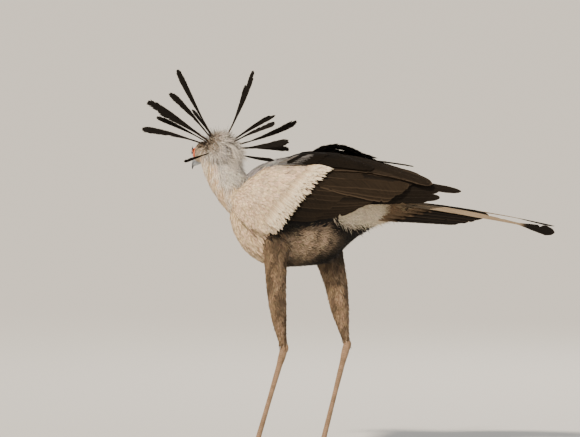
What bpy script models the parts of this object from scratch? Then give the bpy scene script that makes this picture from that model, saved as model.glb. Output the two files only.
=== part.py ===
"""A secretary bird at life size, standing in mid stride with its crest raised.

Metres, +Z up. The bird walks towards -X, its left side is -Y, and its toes rest on z = 0.
Sizes below are millimetres, because a bird's parts are measured that way; mm() turns them into metres.
"""

import math

import bmesh
import bpy
from mathutils import Matrix, Vector

BIRD, CUTTERS = "secretary_bird", "cutters"  # the collections

# Driving sizes
GAP = 0.35  # between nodes that touch
VANE = 0.9  # thickness of a feather's vane
EYE_RADIUS = 8.6
LEFT, RIGHT = -1, 1  # the sign of y on each side

# The torso from breast to rump: x, height of back, height of belly, half width
TORSO = [
    (-339, 716, 660, 18),
    (-324, 756, 612, 42),
    (-286, 800, 560, 68),
    (-225, 832, 528, 87),
    (-140, 849, 526, 92),
    (-60, 848, 540, 83),
    (5, 824, 596, 62),
    (58, 790, 636, 42),
    (100, 764, 653, 28),
    (128, 742, 666, 15),
]

# The neck from breast to nape: x, y, z, half thickness fore and aft, half width
NECK = [
    (-276, 0, 672, 40, 44),
    (-318, 0, 724, 50, 49),
    (-350, 1, 776, 53, 44),
    (-368, 5, 821, 55, 40),
    (-379, 9, 853, 49, 36),
    (-386, 11, 878, 28, 26),
]

# The head turns away to the right, dips its bill and tilts its left side up
HEAD_CENTRE = (-418, 34, 845)
HEAD_YAW, HEAD_PITCH, HEAD_ROLL = 65, 17, 10

# The feathered skull, in the head's own frame: forward, up, half height, half width
SKULL = [
    (-43, 1, 20, 20),
    (-27, 3, 30, 28),
    (-6, 6, 32, 28),
    (13, 2, 27, 23),
    (27, -4, 17, 15),
    (33, -7, 11, 10),
]
EYE = (14, 15.4, 6)  # forward, sideways, up
UPPER_BILL = [
    (22, -1, 12.5, 10.5),
    (36, 1, 12, 9.6),
    (50, -1, 10, 7.4),
    (62, -8, 6.6, 4.8),
    (69, -17, 3.4, 2.6),
    (70, -24, 1.3, 1.0),
]
LOWER_BILL = [(20, -15, 6.5, 9.2), (36, -14.5, 5.8, 7.8), (50, -14.5, 4.6, 5.8), (60, -15.5, 2.6, 3.2)]
NOSTRIL = (37, 9, 3.5)
BROW = [(-6, 19, 15), (5, 22.5, 16.5), (17, 22, 15), (27, 16, 9)]  # forward, sideways, up

# The crest: quills fan out from a hub on the nape
HUB = (-368, -6, 862)
NAPE_RADII = (47, 38, 46)
# The nape is parted where the fan is widest open: name, then the angles from +X that it spans
CREST_SECTORS = [("crest_left", 92, 269), ("crest_middle", 48, 92), ("crest_right", -91, 48)]
# angle from +X, length, depth of the tip towards +Y, width of the vane, upward bow
QUILLS = [
    (197, 104, -78, 10, 0),
    (165, 225, -16, 20, 7),
    (153, 200, 20, 16, 4),
    (146, 243, -26, 22, 5),
    (149, 205, 52, 15, 5),
    (131.5, 211, 14, 20, 5),
    (124, 138, -40, 11, 3),
    (118, 256, -6, 18, -3),
    (68, 196, 26, 12, -8),
    (67, 243, -4, 15, -8),
    (32.5, 170, 54, 14, 3),
    (31.5, 184, 22, 10, 3),
    (26, 172, -34, 15, 4),
    (20, 230, 4, 21, -8),
    (7, 192, -22, 22, -5),
    (0, 195, 30, 16, 5),
    (-11, 155, -12, 12, -4),
]

# The folded wing: x, lower edge, upper edge, distance from the middle of the bird
WING = [
    (-340, 692, 738, 66),
    (-332, 676, 750, 76),
    (-318, 658, 764, 85),
    (-290, 637, 792, 97),
    (-245, 625, 822, 109),
    (-185, 622, 838, 115),
    (-95, 650, 846, 117),
    (25, 678, 850, 97),
    (330, 716, 786, 30),
]
CORE_THICKNESS = 20
# Where the core's lower edge starts to climb along the pale coverts' edge: x, z, and how steeply
CORE_CLIMB = (-218, 622, 1.25)
LOFT = 3.5  # how far the pale coverts stand out over that surface
STEP = 1.8  # from the face of one flight feather to the face of the next
# The primaries' roots and tips (x, z), and for the other tiers those of the first and the last
PRIMARIES = [
    ((-62, 716), (232, 719)),
    ((-53, 724), (262, 724)),
    ((-44, 737), (240, 734)),
    ((-35, 750), (258, 744)),
    ((-30, 770), (236, 757)),
    ((-26, 804), (322, 743)),
]
SECONDARIES = 9
TERTIALS = 5
SCAPULARS = 4
COVERTS = 14
# Scapulars blown up off the back on the far side: root and tip (x, y, z), width, rise
RUFFLED = [
    ((-118, 34, 842), (36, 16, 846), 26, 26),
    ((-92, 46, 840), (62, 34, 838), 28, 12),
]

# The coverts over the tail's root, as THIGHS below; the roots' x and their height, middle and outer;
# and for each pair of rectrices from the middle outwards the tip (x, z), the sideways reach and width
TAIL_COVERTS = [
    (40, 0, 704, 28, 14),
    (92, 0, 697, 34, 20),
    (146, 0, 690, 30, 21),
    (196, 0, 685, 21, 17),
    (236, 0, 683, 8, 10),
]
TAIL_ROOT = (84, 711, 668)
TAIL_TILT = 42  # how steeply the folded tail slopes down to each side
# The middle pair's slope and how far each turns towards its tip: the left one shows its face to the side
STREAMER_TILT = {LEFT: 40, RIGHT: 12}
STREAMER_TWIST = {LEFT: 32, RIGHT: 0}
TAIL_PAIRS = [
    (586, 634, 9, 33),
    (396, 673, 16, 38),
    (386, 669, 19.5, 38),
    (368, 664, 23, 37),
    (346, 660, 26.5, 36),
    (318, 656, 30, 34),
]

# Legs: x, y, z, half thickness fore and aft, half width
THIGHS = {
    "left": [
        (-205, -50, 640, 50, 33),
        (-208, -58, 576, 38, 32),
        (-207, -59, 476, 31, 28),
        (-200, -57, 391, 26, 24),
        (-191, -54, 330, 17, 16),
        (-184, -53, 296, 8, 8),
    ],
    "right": [
        (-74, 44, 628, 52, 34),
        (-54, 48, 545, 43, 31),
        (-38, 45, 484, 36, 28),
        (-26, 37, 410, 30, 25),
        (-13, 31, 340, 18, 17),
        (-4, 29, 301, 8, 8),
    ],
}
ANKLES = {"left": (-183, -53, 302), "right": (-4, 29, 308)}
FEET = {"left": (-268, -52), "right": (-78, 26)}
# Tarsi: share of the way from ankle to foot, half thickness, half width
TARSUS_RADII = [
    (0.0, 9.5, 8.5),
    (0.05, 12.5, 11.5),
    (0.14, 8.5, 8),
    (0.5, 6.6, 6.4),
    (0.86, 7.2, 7.4),
    (1.0, 8.5, 9.5),
]
# Toes: name, direction from straight ahead, length, radius at the root
TOES = [("middle", 0, 60, 8), ("inner", 32, 44, 7.4), ("outer", -34, 46, 7.4), ("hind", 180, 30, 7)]
CLAW_LENGTH = 17

# Colour (linear) and roughness of each kind of node, by how its name starts
FINISHES = {
    "torso": ((0.40, 0.34, 0.28), 0.8),
    "neck": ((0.50, 0.42, 0.33), 0.8),
    "head": ((0.42, 0.34, 0.26), 0.8),
    "crest": ((0.035, 0.028, 0.026), 0.7),
    "wing": ((0.20, 0.16, 0.12), 0.75),
    "tail": ((0.07, 0.05, 0.036), 0.75),
    "thigh": ((0.13, 0.09, 0.06), 0.85),
    "tarsus": ((0.42, 0.29, 0.17), 0.5),
    "foot": ((0.40, 0.28, 0.17), 0.5),
    "claw": ((0.03, 0.026, 0.024), 0.35),
    "bill": ((0.22, 0.25, 0.29), 0.35),
    "eye": ((0.03, 0.018, 0.012), 0.08),
}


def mm(*values):
    """Millimetres as a point in metres."""
    return Vector(values) * 0.001


def clear_scene():
    for obj in list(bpy.data.objects):
        bpy.data.objects.remove(obj, do_unlink=True)


def new_collection(name):
    made = bpy.data.collections.new(name)
    bpy.context.scene.collection.children.link(made)
    return made


def paint(obj):
    """Gives a node a material of its own, in the colour of its kind."""
    kind = next(start for start in FINISHES if obj.name.startswith(start))
    colour, roughness = FINISHES[kind]
    made = bpy.data.materials.new(obj.name)
    made.use_nodes = True
    shader = made.node_tree.nodes["Principled BSDF"]
    shader.inputs["Base Color"].default_value = (*colour, 1)
    shader.inputs["Roughness"].default_value = roughness
    shader.inputs["Metallic"].default_value = 0
    obj.data.materials.clear()
    obj.data.materials.append(made)


def smooth_between(rows, t):
    """The row at t, from 0 to 1, on a smooth curve through the rows."""
    place = min(max(t, 0.0), 1.0) * (len(rows) - 1)
    i = min(int(place), len(rows) - 2)
    u = place - i
    around = [rows[min(max(i + step, 0), len(rows) - 1)] for step in (-1, 0, 1, 2)]
    return tuple(
        0.5 * (2 * b + (c - a) * u + (2 * a - 5 * b + 4 * c - d) * u**2 + (3 * b - a - 3 * c + d) * u**3)
        for a, b, c, d in zip(*around)
    )


def at_x(rows, x):
    """The row at a given first value, on straight lines between the rows."""
    for a, b in zip(rows, rows[1:]):
        if x <= b[0]:
            u = max(0.0, (x - a[0]) / (b[0] - a[0]))
            return tuple(p + (q - p) * u for p, q in zip(a, b))
    return rows[-1]


def mesh_object(name, bm, smooth=True, turn_out=True):
    """A new object from a bmesh, with its normals facing out."""
    if turn_out:
        bmesh.ops.recalc_face_normals(bm, faces=bm.faces)
    mesh = bpy.data.meshes.new(name)
    bm.to_mesh(mesh)
    bm.free()
    obj = bpy.data.objects.new(name, mesh)
    bpy.data.collections[BIRD].objects.link(obj)
    if smooth:
        mesh.shade_smooth()
        mesh.set_sharp_from_angle(angle=math.radians(50))
    return obj


def skin_rings(bm, rings):
    """Quads between rings of points, and a fan over each end."""
    made = [[bm.verts.new(p) for p in ring] for ring in rings]
    for a, b in zip(made, made[1:]):
        for i in range(len(a)):
            j = (i + 1) % len(a)
            bm.faces.new((a[i], a[j], b[j], b[i]))
    for ring in (made[0], made[-1]):
        pole = bm.verts.new(sum((v.co for v in ring), Vector()) / len(ring))
        for i in range(len(ring)):
            bm.faces.new((ring[i], ring[(i + 1) % len(ring)], pole))


def oval(centre, a_axis, b_axis, a, b, sides, squareness=2.0):
    """Points round an ellipse, or a fuller one where squareness is over 2."""
    points = []
    for k in range(sides):
        angle = 2 * math.pi * (k + 0.5) / sides
        shares = [math.copysign(abs(v) ** (2 / squareness), v) for v in (math.cos(angle), math.sin(angle))]
        points.append(centre + a_axis * (a * shares[0]) + b_axis * (b * shares[1]))
    return points


def make_torso():
    """Upright ovals along the body, from breast to rump."""
    rings = []
    count = 15
    for k in range(count):
        x, back, belly, half = smooth_between(TORSO, k / (count - 1))
        rings.append(
            oval(mm(x, 0, (back + belly) / 2), mm(0, 1, 0), mm(0, 0, 1), half, (back - belly) / 2, 22, 2.15)
        )
    bm = bmesh.new()
    skin_rings(bm, rings)
    return mesh_object("torso", bm)


def tube(name, rows, sides=12, rings=8, side=Vector((0, 1, 0)), place=None):
    """A body lofted along a path. A row is x, y, z, half thickness, half width, in millimetres."""
    place = place or (lambda x, y, z: mm(x, y, z))
    centres, sizes = [], []
    for k in range(rings):
        x, y, z, a, b = smooth_between(rows, k / (rings - 1))
        centres.append(place(x, y, z))
        sizes.append((a, b))
    made = []
    for k, centre in enumerate(centres):
        along = (centres[min(k + 1, rings - 1)] - centres[max(k - 1, 0)]).normalized()
        across = (side - along * side.dot(along)).normalized()
        thick = along.cross(across)
        made.append(oval(centre, thick * 0.001, across * 0.001, sizes[k][0], sizes[k][1], sides))
    bm = bmesh.new()
    skin_rings(bm, made)
    return mesh_object(name, bm)


def head_axes():
    """Forward, left and up of the turned head."""
    yaw, pitch, roll = (math.radians(v) for v in (HEAD_YAW, HEAD_PITCH, HEAD_ROLL))
    forward = Vector((-math.cos(yaw) * math.cos(pitch), math.sin(yaw) * math.cos(pitch), -math.sin(pitch)))
    level_left = Vector((-math.sin(yaw), -math.cos(yaw), 0))
    level_up = level_left.cross(forward) * -1
    if level_up.z < 0:
        level_up.negate()
    left = level_left * math.cos(roll) + level_up * math.sin(roll)
    up = level_up * math.cos(roll) - level_left * math.sin(roll)
    return forward, left, up


def on_head(forward, left, up):
    """A point given in the head's own frame, in millimetres."""
    f, l, u = head_axes()
    return mm(*HEAD_CENTRE) + (f * forward + l * left + u * up) * 0.001


def swollen(obj, by=GAP):
    """A copy with its surface moved out, to cut a neighbour with."""
    bm = bmesh.new()
    bm.from_mesh(obj.data)
    bm.normal_update()
    moves = [v.normal * (by * 0.001) for v in bm.verts]
    for v, move in zip(bm.verts, moves):
        v.co += move
    return mesh_object("cutter", bm, turn_out=False)


def largest_surface(obj):
    """Keeps the closed surface of most volume, without loose scraps or sealed hollows."""
    bm = bmesh.new()
    bm.from_mesh(obj.data)
    unseen = set(bm.faces)
    surfaces = []
    while unseen:
        stack, faces = [unseen.pop()], []
        while stack:
            face = stack.pop()
            faces.append(face)
            for edge in face.edges:
                for other in edge.link_faces:
                    if other in unseen:
                        unseen.remove(other)
                        stack.append(other)
        volume = sum(f.calc_area() * f.normal.dot(f.calc_center_median()) / 3 for f in faces)
        surfaces.append((volume, faces))
    surfaces.sort(key=lambda item: item[0])
    spare = [face for _, faces in surfaces[:-1] for face in faces]
    bmesh.ops.delete(bm, geom=spare, context="FACES")
    bm.to_mesh(obj.data)
    bm.free()


def combine(obj, others, operation, solver="EXACT"):
    """Joins others to obj, or cuts them from it, in one Boolean, applies it and removes them.

    MANIFOLD serves where EXACT leaves gaps: many thin vanes, and faces that nearly meet."""
    cutters = bpy.data.collections[CUTTERS]
    for other in others:
        other.hide_render = True
        other.display_type = "WIRE"
        bpy.data.collections[BIRD].objects.unlink(other)
        cutters.objects.link(other)
    modifier = obj.modifiers.new("join", "BOOLEAN")
    modifier.operation = operation
    modifier.solver = solver
    modifier.operand_type = "COLLECTION"
    modifier.collection = cutters
    graph = bpy.context.evaluated_depsgraph_get()
    made = bpy.data.meshes.new_from_object(obj.evaluated_get(graph))
    obj.modifiers.clear()
    obj.data = made
    for other in others:
        bpy.data.objects.remove(other, do_unlink=True)
    largest_surface(obj)
    return obj


def ribbon(name, rows, thickness):
    """A vane: each row is its left, middle and right points and the way its face looks.

    The two faces are split into triangles alike, so that a thin vane never crosses itself."""
    bm = bmesh.new()
    upper, lower = [], []
    for left, middle, right, normal in rows:
        half = normal.normalized() * (thickness * 0.0005)
        upper.append([bm.verts.new(p + half) for p in (left, middle, right)])
        lower.append([bm.verts.new(p - half) for p in (left, middle, right)])
    for k in range(len(rows) - 1):
        for column in (0, 1):
            for layer in (upper, lower):
                a, b = layer[k][column], layer[k][column + 1]
                c, d = layer[k + 1][column + 1], layer[k + 1][column]
                bm.faces.new((a, b, c))
                bm.faces.new((a, c, d))
        for edge in (0, 2):
            a, b = upper[k][edge], lower[k][edge]
            c, d = lower[k + 1][edge], upper[k + 1][edge]
            bm.faces.new((a, b, c))
            bm.faces.new((a, c, d))
    for k in (0, -1):
        for column in (0, 1):
            bm.faces.new((upper[k][column], upper[k][column + 1], lower[k][column + 1], lower[k][column]))
    return mesh_object(name, bm, smooth=False)


def profile(kind, t):
    """Half the width of a vane at t along it, as a share of its full width."""
    shapes = {
        "quill": [(0, 0.12), (0.35, 0.12), (0.6, 0.38), (0.8, 0.5), (0.9, 0.4), (1, 0.06)],
        "flight": [(0, 0.3), (0.2, 0.46), (0.6, 0.5), (0.88, 0.42), (1, 0.14)],
        "covert": [(0, 0.4), (0.5, 0.5), (0.8, 0.36), (1, 0.07)],
        "streamer": [
            (0, 0.4),
            (0.3, 0.44),
            (0.56, 0.36),
            (0.7, 0.18),
            (0.79, 0.1),
            (0.87, 0.3),
            (0.95, 0.46),
            (1, 0.1),
        ],
    }
    return at_x(shapes[kind], t)[1]


def free_vane(name, root, tip, width, kind, facing, stations, bow=0.0, twist=0.0, camber=0.1):
    """A vane in the open air, from root to tip, bowed upwards and turned by twist degrees at its tip."""
    rows = []
    along = (tip - root).normalized()
    upward = (Vector((0, 0, 1)) - along * along.z).normalized()
    for t in stations:
        centre = root.lerp(tip, t) + upward * (bow * 0.001 * 4 * t * (1 - t))
        look = (facing - along * facing.dot(along)).normalized()
        look = Matrix.Rotation(math.radians(twist) * t**2, 3, along) @ look
        across = along.cross(look)
        half = width * profile(kind, t) * 0.001
        sunk = look * (half * camber)
        rows.append((centre - across * half - sunk, centre, centre + across * half - sunk, look))
    return ribbon(name, rows, VANE)


def ball(centre, radii, rings=10):
    """An ellipsoid as a bmesh; its centre and radii are in metres."""
    bm = bmesh.new()
    bmesh.ops.create_uvsphere(bm, u_segments=int(rings * 1.6), v_segments=rings, radius=1)
    bmesh.ops.scale(bm, vec=radii, verts=bm.verts)
    bmesh.ops.translate(bm, vec=centre, verts=bm.verts)
    return bm


def make_crest():
    """The ruffled nape in its sectors, each with its quills fused to it."""
    sectors = []
    for name, low, high in CREST_SECTORS:
        bm = ball(mm(*HUB), mm(*NAPE_RADII))
        for angle, inward in ((low, 1), (high, -1)):
            turn = math.radians(angle)
            normal = Vector((-math.sin(turn), 0, math.cos(turn))) * inward
            cut = bmesh.ops.bisect_plane(
                bm,
                geom=bm.verts[:] + bm.edges[:] + bm.faces[:],
                plane_co=mm(*HUB) + normal * (GAP * 0.0005),
                plane_no=normal,
                clear_inner=True,
            )
            rim = [e for e in cut["geom_cut"] if isinstance(e, bmesh.types.BMEdge)]
            bmesh.ops.contextual_create(bm, geom=rim)
        sector = mesh_object(name, bm)
        quills = []
        for index, (angle, length, depth, width, bow) in enumerate(QUILLS):
            if not low < angle < high:
                continue
            way = Vector((math.cos(math.radians(angle)), 0, math.sin(math.radians(angle))))
            root = mm(*HUB) + way * 0.016 + mm(0, depth * 0.25, 0)
            tip = mm(*HUB) + way * (length * 0.001) + mm(0, depth, 0)
            facing = Vector((0.15 * math.cos(index), -1, 0.5 * math.sin(2.3 * index)))
            stations = (0, 0.4, 0.62, 0.86, 1)
            quills.append(free_vane(f"quill_{index}", root, tip, width, "quill", facing, stations, bow))
        sectors.append(combine(sector, quills, "UNION"))
    return sectors


def make_head():
    """The skull with brows and lids, the two halves of the bill and the eyes."""
    forward, left, up = head_axes()
    skull = tube("head", [(f, 0, u, a, b) for f, u, a, b in SKULL], 14, 9, left, on_head)
    upper = tube("bill_upper", [(f, 0, u, a, b) for f, u, a, b in UPPER_BILL], 10, 10, left, on_head)
    lower = tube("bill_lower", [(f, 0, u, a, b) for f, u, a, b in LOWER_BILL], 10, 6, left, on_head)
    combine(upper, [swollen(lower)], "DIFFERENCE")
    nostrils = []
    for side in (LEFT, RIGHT):
        bm = bmesh.new()
        bmesh.ops.create_uvsphere(bm, u_segments=8, v_segments=6, radius=1)
        bmesh.ops.scale(bm, vec=mm(3.6, 1.9, 1.3), verts=bm.verts)
        turn = Matrix((forward, left, up)).transposed()
        bmesh.ops.rotate(bm, matrix=turn, verts=bm.verts)
        bmesh.ops.translate(bm, vec=on_head(NOSTRIL[0], NOSTRIL[1] * side, NOSTRIL[2]), verts=bm.verts)
        nostrils.append(mesh_object("nostril", bm))
    combine(upper, nostrils, "DIFFERENCE")
    ridges, sockets = [], []
    for side, word in ((1, "left"), (-1, "right")):
        centre = on_head(EYE[0], EYE[1] * side, EYE[2])
        look = (left * side + forward * 0.28 + up * 0.05).normalized()
        ridges.append(tube("brow", [(a, b * side, c, 3.6, 4.2) for a, b, c in BROW], 6, 5, left, on_head))
        bm = bmesh.new()
        lid_rows = []
        turns = 12
        face_up = (up - look * up.dot(look)).normalized()
        face_along = look.cross(face_up)
        lid_centre = centre + look * 0.0058
        for k in range(turns):
            angle = 2 * math.pi * k / turns
            out = face_along * math.cos(angle) * 0.0088 + face_up * math.sin(angle) * 0.0074
            lid_rows.append(oval(lid_centre + out, out.normalized(), look, 0.0026, 0.0024, 6))
        made = [[bm.verts.new(p) for p in row] for row in lid_rows]
        for k in range(turns):
            a, b = made[k], made[(k + 1) % turns]
            for i in range(6):
                j = (i + 1) % 6
                bm.faces.new((a[i], a[j], b[j], b[i]))
        ridges.append(mesh_object("lid", bm))
        eye = mesh_object(f"eye_{word}", ball(centre, mm(EYE_RADIUS, EYE_RADIUS, EYE_RADIUS), 8))
        sockets.append(swollen(eye))
    combine(skull, ridges, "UNION", "MANIFOLD")
    combine(skull, sockets + [swollen(upper), swollen(lower)], "DIFFERENCE", "MANIFOLD")
    return skull


def flank(x, z):
    """A point of the folded wing's outer surface, on the +Y side."""
    _, low, high, out = at_x(WING, x)
    h = (z - low) / (high - low)
    if h > 0.4:
        share = 1 - 0.52 * min((h - 0.4) / 0.6, 1.25) ** 2
    else:
        share = 1 - 0.08 * min((0.4 - h) / 0.4, 1.5) ** 2
    return mm(x, out * share, z)


def flank_normal(x, z):
    """Which way that surface looks, evened out over a hand's breadth."""
    reach = 14.0
    along = flank(x + reach, z) - flank(x - reach, z)
    upward = flank(x, z + reach) - flank(x, z - reach)
    normal = along.cross(upward)
    return (normal if normal.y > 0 else -normal).normalized()


def off_flank(x, z, lift):
    """A point so many millimetres out from the folded wing's surface."""
    return flank(x, z) + flank_normal(x, z) * (lift * 0.001)


def make_wing_core():
    """The shoulder and forearm under their coverts: lens-shaped sections set along the body."""
    rings = []
    columns = 7
    front, back = WING[0][0] + 3, -38
    count = 9
    for k in range(count):
        share = k / (count - 1)
        x = front + (back - front) * share
        _, low, high, _ = at_x(WING, x)
        if x > CORE_CLIMB[0]:
            low = CORE_CLIMB[1] + (x - CORE_CLIMB[0]) * CORE_CLIMB[2]
        fullness = math.sin(math.pi * min(max(share * 0.97 + 0.02, 0), 1)) ** 0.45
        middle = LOFT - CORE_THICKNESS * 0.5
        outer, inner = [], []
        for i in range(columns):
            t = i / (columns - 1)
            z = low + (high - low) * t
            bulge = math.sin(math.pi * t) ** 0.6 * fullness
            half = 0.6 + (CORE_THICKNESS * 0.5 - 0.6) * bulge
            outer.append(off_flank(x, z, middle + half))
            inner.append(off_flank(x, z, middle - half))
        rings.append(outer + inner[::-1])
    bm = bmesh.new()
    skin_rings(bm, rings)
    return mesh_object("wing", bm)


def flank_vane(name, root, tip, width, kind, lifts, pitch, bow=0.0):
    """A vane lying on the wing, from root to tip, both (x, z), its lift going from lifts[0] to lifts[1].

    Its lower edge lies over the vane below it, which is pitch millimetres away, like a tile. Its rows
    stand at the same stations along the body as its neighbours', so that none of them cross."""
    blunt = 0.42 * width
    stations = [root[0]] + [row[0] for row in WING if root[0] + 12 < row[0] < tip[0] - blunt - 8]
    rows = []
    for x in stations + [tip[0] - blunt, tip[0]]:
        t = (x - root[0]) / (tip[0] - root[0])
        z = root[1] + (tip[1] - root[1]) * t + bow * 4 * t * (1 - t)
        half = width * profile(kind, t)
        lift = lifts[0] + (lifts[1] - lifts[0]) * t
        lean = STEP / pitch * half
        points = [off_flank(x, z + half * k, lift - lean * k) for k in (-1, 0, 1)]
        rows.append((*points, flank_normal(x, z)))
    return ribbon(name, rows, VANE)


def tier(name, count, roots, tips, width, lifts, bow):
    """A row of flight feathers: roots and tips go from the first (x, z) to the last, bottom to top."""
    vanes = []
    pitch = abs(tips[1][1] - tips[0][1]) / (count - 1)
    for k in range(count):
        t = k / (count - 1)
        root = [a + (b - a) * t for a, b in zip(*roots)]
        tip = [a + (b - a) * t for a, b in zip(*tips)]
        tip[0] += 4 * math.sin(2.1 * k)
        vanes.append(flank_vane(f"{name}_{k}", root, tip, width, "flight", lifts, pitch, bow))
    return vanes


def wing_vanes():
    """Primaries, secondaries, tertials, scapulars and greater coverts, each tier over the one before."""
    vanes = []
    for k, (root, tip) in enumerate(PRIMARIES):
        vanes.append(flank_vane(f"primary_{k}", root, tip, 25, "flight", (-12, -15), 12, 3))
    secondary_roots, secondary_tips = ((-200, 680), (-98, 788)), ((10, 697), (188, 754))
    vanes += tier("secondary", SECONDARIES, secondary_roots, secondary_tips, 44, (-10, -10), -3)
    tertial_roots, tertial_tips = ((-118, 788), (-106, 814)), ((226, 764), (112, 806))
    vanes += tier("tertial", TERTIALS, tertial_roots, tertial_tips, 40, (-7, -4), 9)
    scapular_roots, scapular_tips = ((-146, 806), (-134, 834)), ((90, 812), (-12, 839))
    vanes += tier("scapular", SCAPULARS, scapular_roots, scapular_tips, 34, (-5, 1), 7)
    for k in range(COVERTS):
        t = k / (COVERTS - 1)
        hollow = 8 * math.sin(math.pi * t)
        uneven = (4 * math.sin(2.2 * k), -3 * math.cos(1.7 * k))
        root = (-250 + 147 * t, 652 + 149 * t)
        tip = (-197 + 150 * t - hollow + uneven[0], 633 + 174 * t + hollow + uneven[1])
        lifts = (LOFT - 5, LOFT + (0.4 if k % 2 else 2.0))
        vanes.append(flank_vane(f"covert_{k}", root, tip, 24, "covert", lifts, 30, 2))
    return vanes


def mirrored(obj, name):
    """A copy on the other side of the bird."""
    bm = bmesh.new()
    bm.from_mesh(obj.data)
    for v in bm.verts:
        v.co.y = -v.co.y
    bmesh.ops.reverse_faces(bm, faces=bm.faces)
    return mesh_object(name, bm, turn_out=False)


def make_wings(neighbours):
    """Both folded wings, cut clear of the body that they lie against."""
    right = make_wing_core()
    right.name = "wing_right"
    combine(right, wing_vanes(), "UNION", "MANIFOLD")
    left = mirrored(right, "wing_left")
    ruffled = []
    for root, tip, width, rise in RUFFLED:
        facing = Vector((0, 0.5, 1))
        stations = (0, 0.25, 0.5, 0.75, 0.92, 1)
        ruffled.append(free_vane("ruffled", mm(*root), mm(*tip), width, "flight", facing, stations, rise))
    combine(right, ruffled, "UNION", "MANIFOLD")
    for wing in (left, right):
        combine(wing, [swollen(n) for n in neighbours], "DIFFERENCE", "MANIFOLD")
    return left, right


def make_tail(torso):
    """Rectrices fused under their coverts, the outer ones hanging lower, the middle pair drawn out."""
    tail = tube("tail", TAIL_COVERTS, 12, 7)
    vanes = []
    root_x, root_high, root_low = TAIL_ROOT
    for k, (tip_x, tip_z, reach, width) in enumerate(TAIL_PAIRS):
        outer = (k - 1) / (len(TAIL_PAIRS) - 2)
        for side in (LEFT, RIGHT):
            if k == 0:
                root = mm(root_x, side * 3, root_high + 7)
                tip = mm(tip_x, side * reach, tip_z + side * 9)
                stations, kind, bow = (0, 0.3, 0.56, 0.7, 0.79, 0.87, 0.95, 1), "streamer", 10
                tilt, twist = STREAMER_TILT[side], STREAMER_TWIST[side]
            else:
                root = mm(root_x, side * (6 + 12 * outer), root_high + (root_low - root_high) * outer)
                tip = mm(tip_x + side * 3, side * reach, tip_z)
                stations, kind, bow = (0, 0.35, 0.88, 1), "flight", 4
                tilt, twist = TAIL_TILT, 0
            slope = math.radians(tilt)
            facing = Vector((0, side * math.sin(slope), math.cos(slope)))
            vanes.append(free_vane(f"rectrix_{k}", root, tip, width, kind, facing, stations, bow, twist))
    combine(tail, vanes, "UNION", "MANIFOLD")
    return combine(tail, [swollen(torso)], "DIFFERENCE", "MANIFOLD")


def make_leg(word, torso):
    """The feathered thigh, the bare tarsus, the foot and its claws."""
    foot_x, foot_y = FEET[word]
    ankle = Vector(ANKLES[word])
    foot = Vector((foot_x, foot_y, 9))
    thigh = tube(f"thigh_{word}", THIGHS[word], 14, 8)
    shank_rows = []
    for share, a, b in TARSUS_RADII:
        point = ankle.lerp(foot, share)
        shank_rows.append((*point, a, b))
    tarsus = tube(f"tarsus_{word}", shank_rows, 10, 9)
    toes, claws = [], []
    inward = 1 if word == "left" else -1
    for name, angle, length, radius in TOES:
        way = math.radians(180 - angle * inward)
        out = Vector((math.cos(way), math.sin(way), 0))
        spans = ((-0.12, 9, 1.0), (0.12, 7.4, 1.06), (0.45, 5.8, 0.9), (0.8, 4.8, 0.78), (1.0, 4.2, 0.56))
        rows = []
        for share, height, size in spans:
            p = Vector((foot_x, foot_y, height)) + out * (length * share)
            rows.append((*p, radius * size, radius * size))
        across = Vector((-out.y, out.x, 0))
        toes.append(tube(f"toe_{name}", rows, 8, 6, across))
        start = Vector((foot_x, foot_y, 0)) + out * (length * 0.93)
        claw_rows = []
        for share, height, size in ((0, 4.6, 2.9), (0.4, 6.0, 2.6), (0.75, 4.6, 1.7), (1.0, 1.0, 0.4)):
            p = start + out * (CLAW_LENGTH * share) + Vector((0, 0, height))
            claw_rows.append((*p, size, size * 0.8))
        claws.append(tube(f"claw_{name}_{word}", claw_rows, 6, 5, across))
    foot_obj = toes[0]
    foot_obj.name = f"foot_{word}"
    combine(foot_obj, toes[1:], "UNION")
    bm = bmesh.new()
    bmesh.ops.create_cube(bm, size=0.4)
    bmesh.ops.translate(bm, vec=mm(foot_x, foot_y, -200), verts=bm.verts)
    combine(foot_obj, [mesh_object("floor", bm, smooth=False)], "DIFFERENCE")
    for claw in claws:
        combine(claw, [swollen(foot_obj)], "DIFFERENCE")
    combine(tarsus, [swollen(foot_obj)], "DIFFERENCE")
    combine(thigh, [swollen(torso), swollen(tarsus)], "DIFFERENCE")
    return thigh, tarsus, foot_obj, claws


def main():
    clear_scene()
    bird = new_collection(BIRD)
    cutters = new_collection(CUTTERS)
    torso = make_torso()
    neck = tube("neck", NECK, 18, 10)
    nape = make_crest()
    head = make_head()
    for sector in nape:
        combine(sector, [swollen(head)], "DIFFERENCE")
    whole_nape = mesh_object("nape", ball(mm(*HUB), mm(*NAPE_RADII)))
    combine(neck, [swollen(part) for part in (torso, head, whole_nape, *nape)], "DIFFERENCE", "MANIFOLD")
    bpy.data.objects.remove(whole_nape, do_unlink=True)
    legs = [make_leg(word, torso) for word in ("left", "right")]
    tail = make_tail(torso)
    make_wings([torso, neck, tail, legs[0][0]])
    bpy.data.collections.remove(cutters)
    for obj in bird.objects:
        paint(obj)


main()
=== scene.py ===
"""The looks of the secretary bird: one skin under a coat of feathers, its flight feathers, crest, bill,
eyes and scaled legs, in place of the plain solids.

Metres, +Z up. The bird walks towards -X, and its left side, -Y, is the one that the camera sees.
Sizes are written in millimetres, as a bird is measured, and turned into metres where they are used.
"""

import math
import bmesh
import bpy
import numpy as np
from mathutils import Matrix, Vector
from mathutils.bvhtree import BVHTree
from mathutils.kdtree import KDTree


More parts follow.
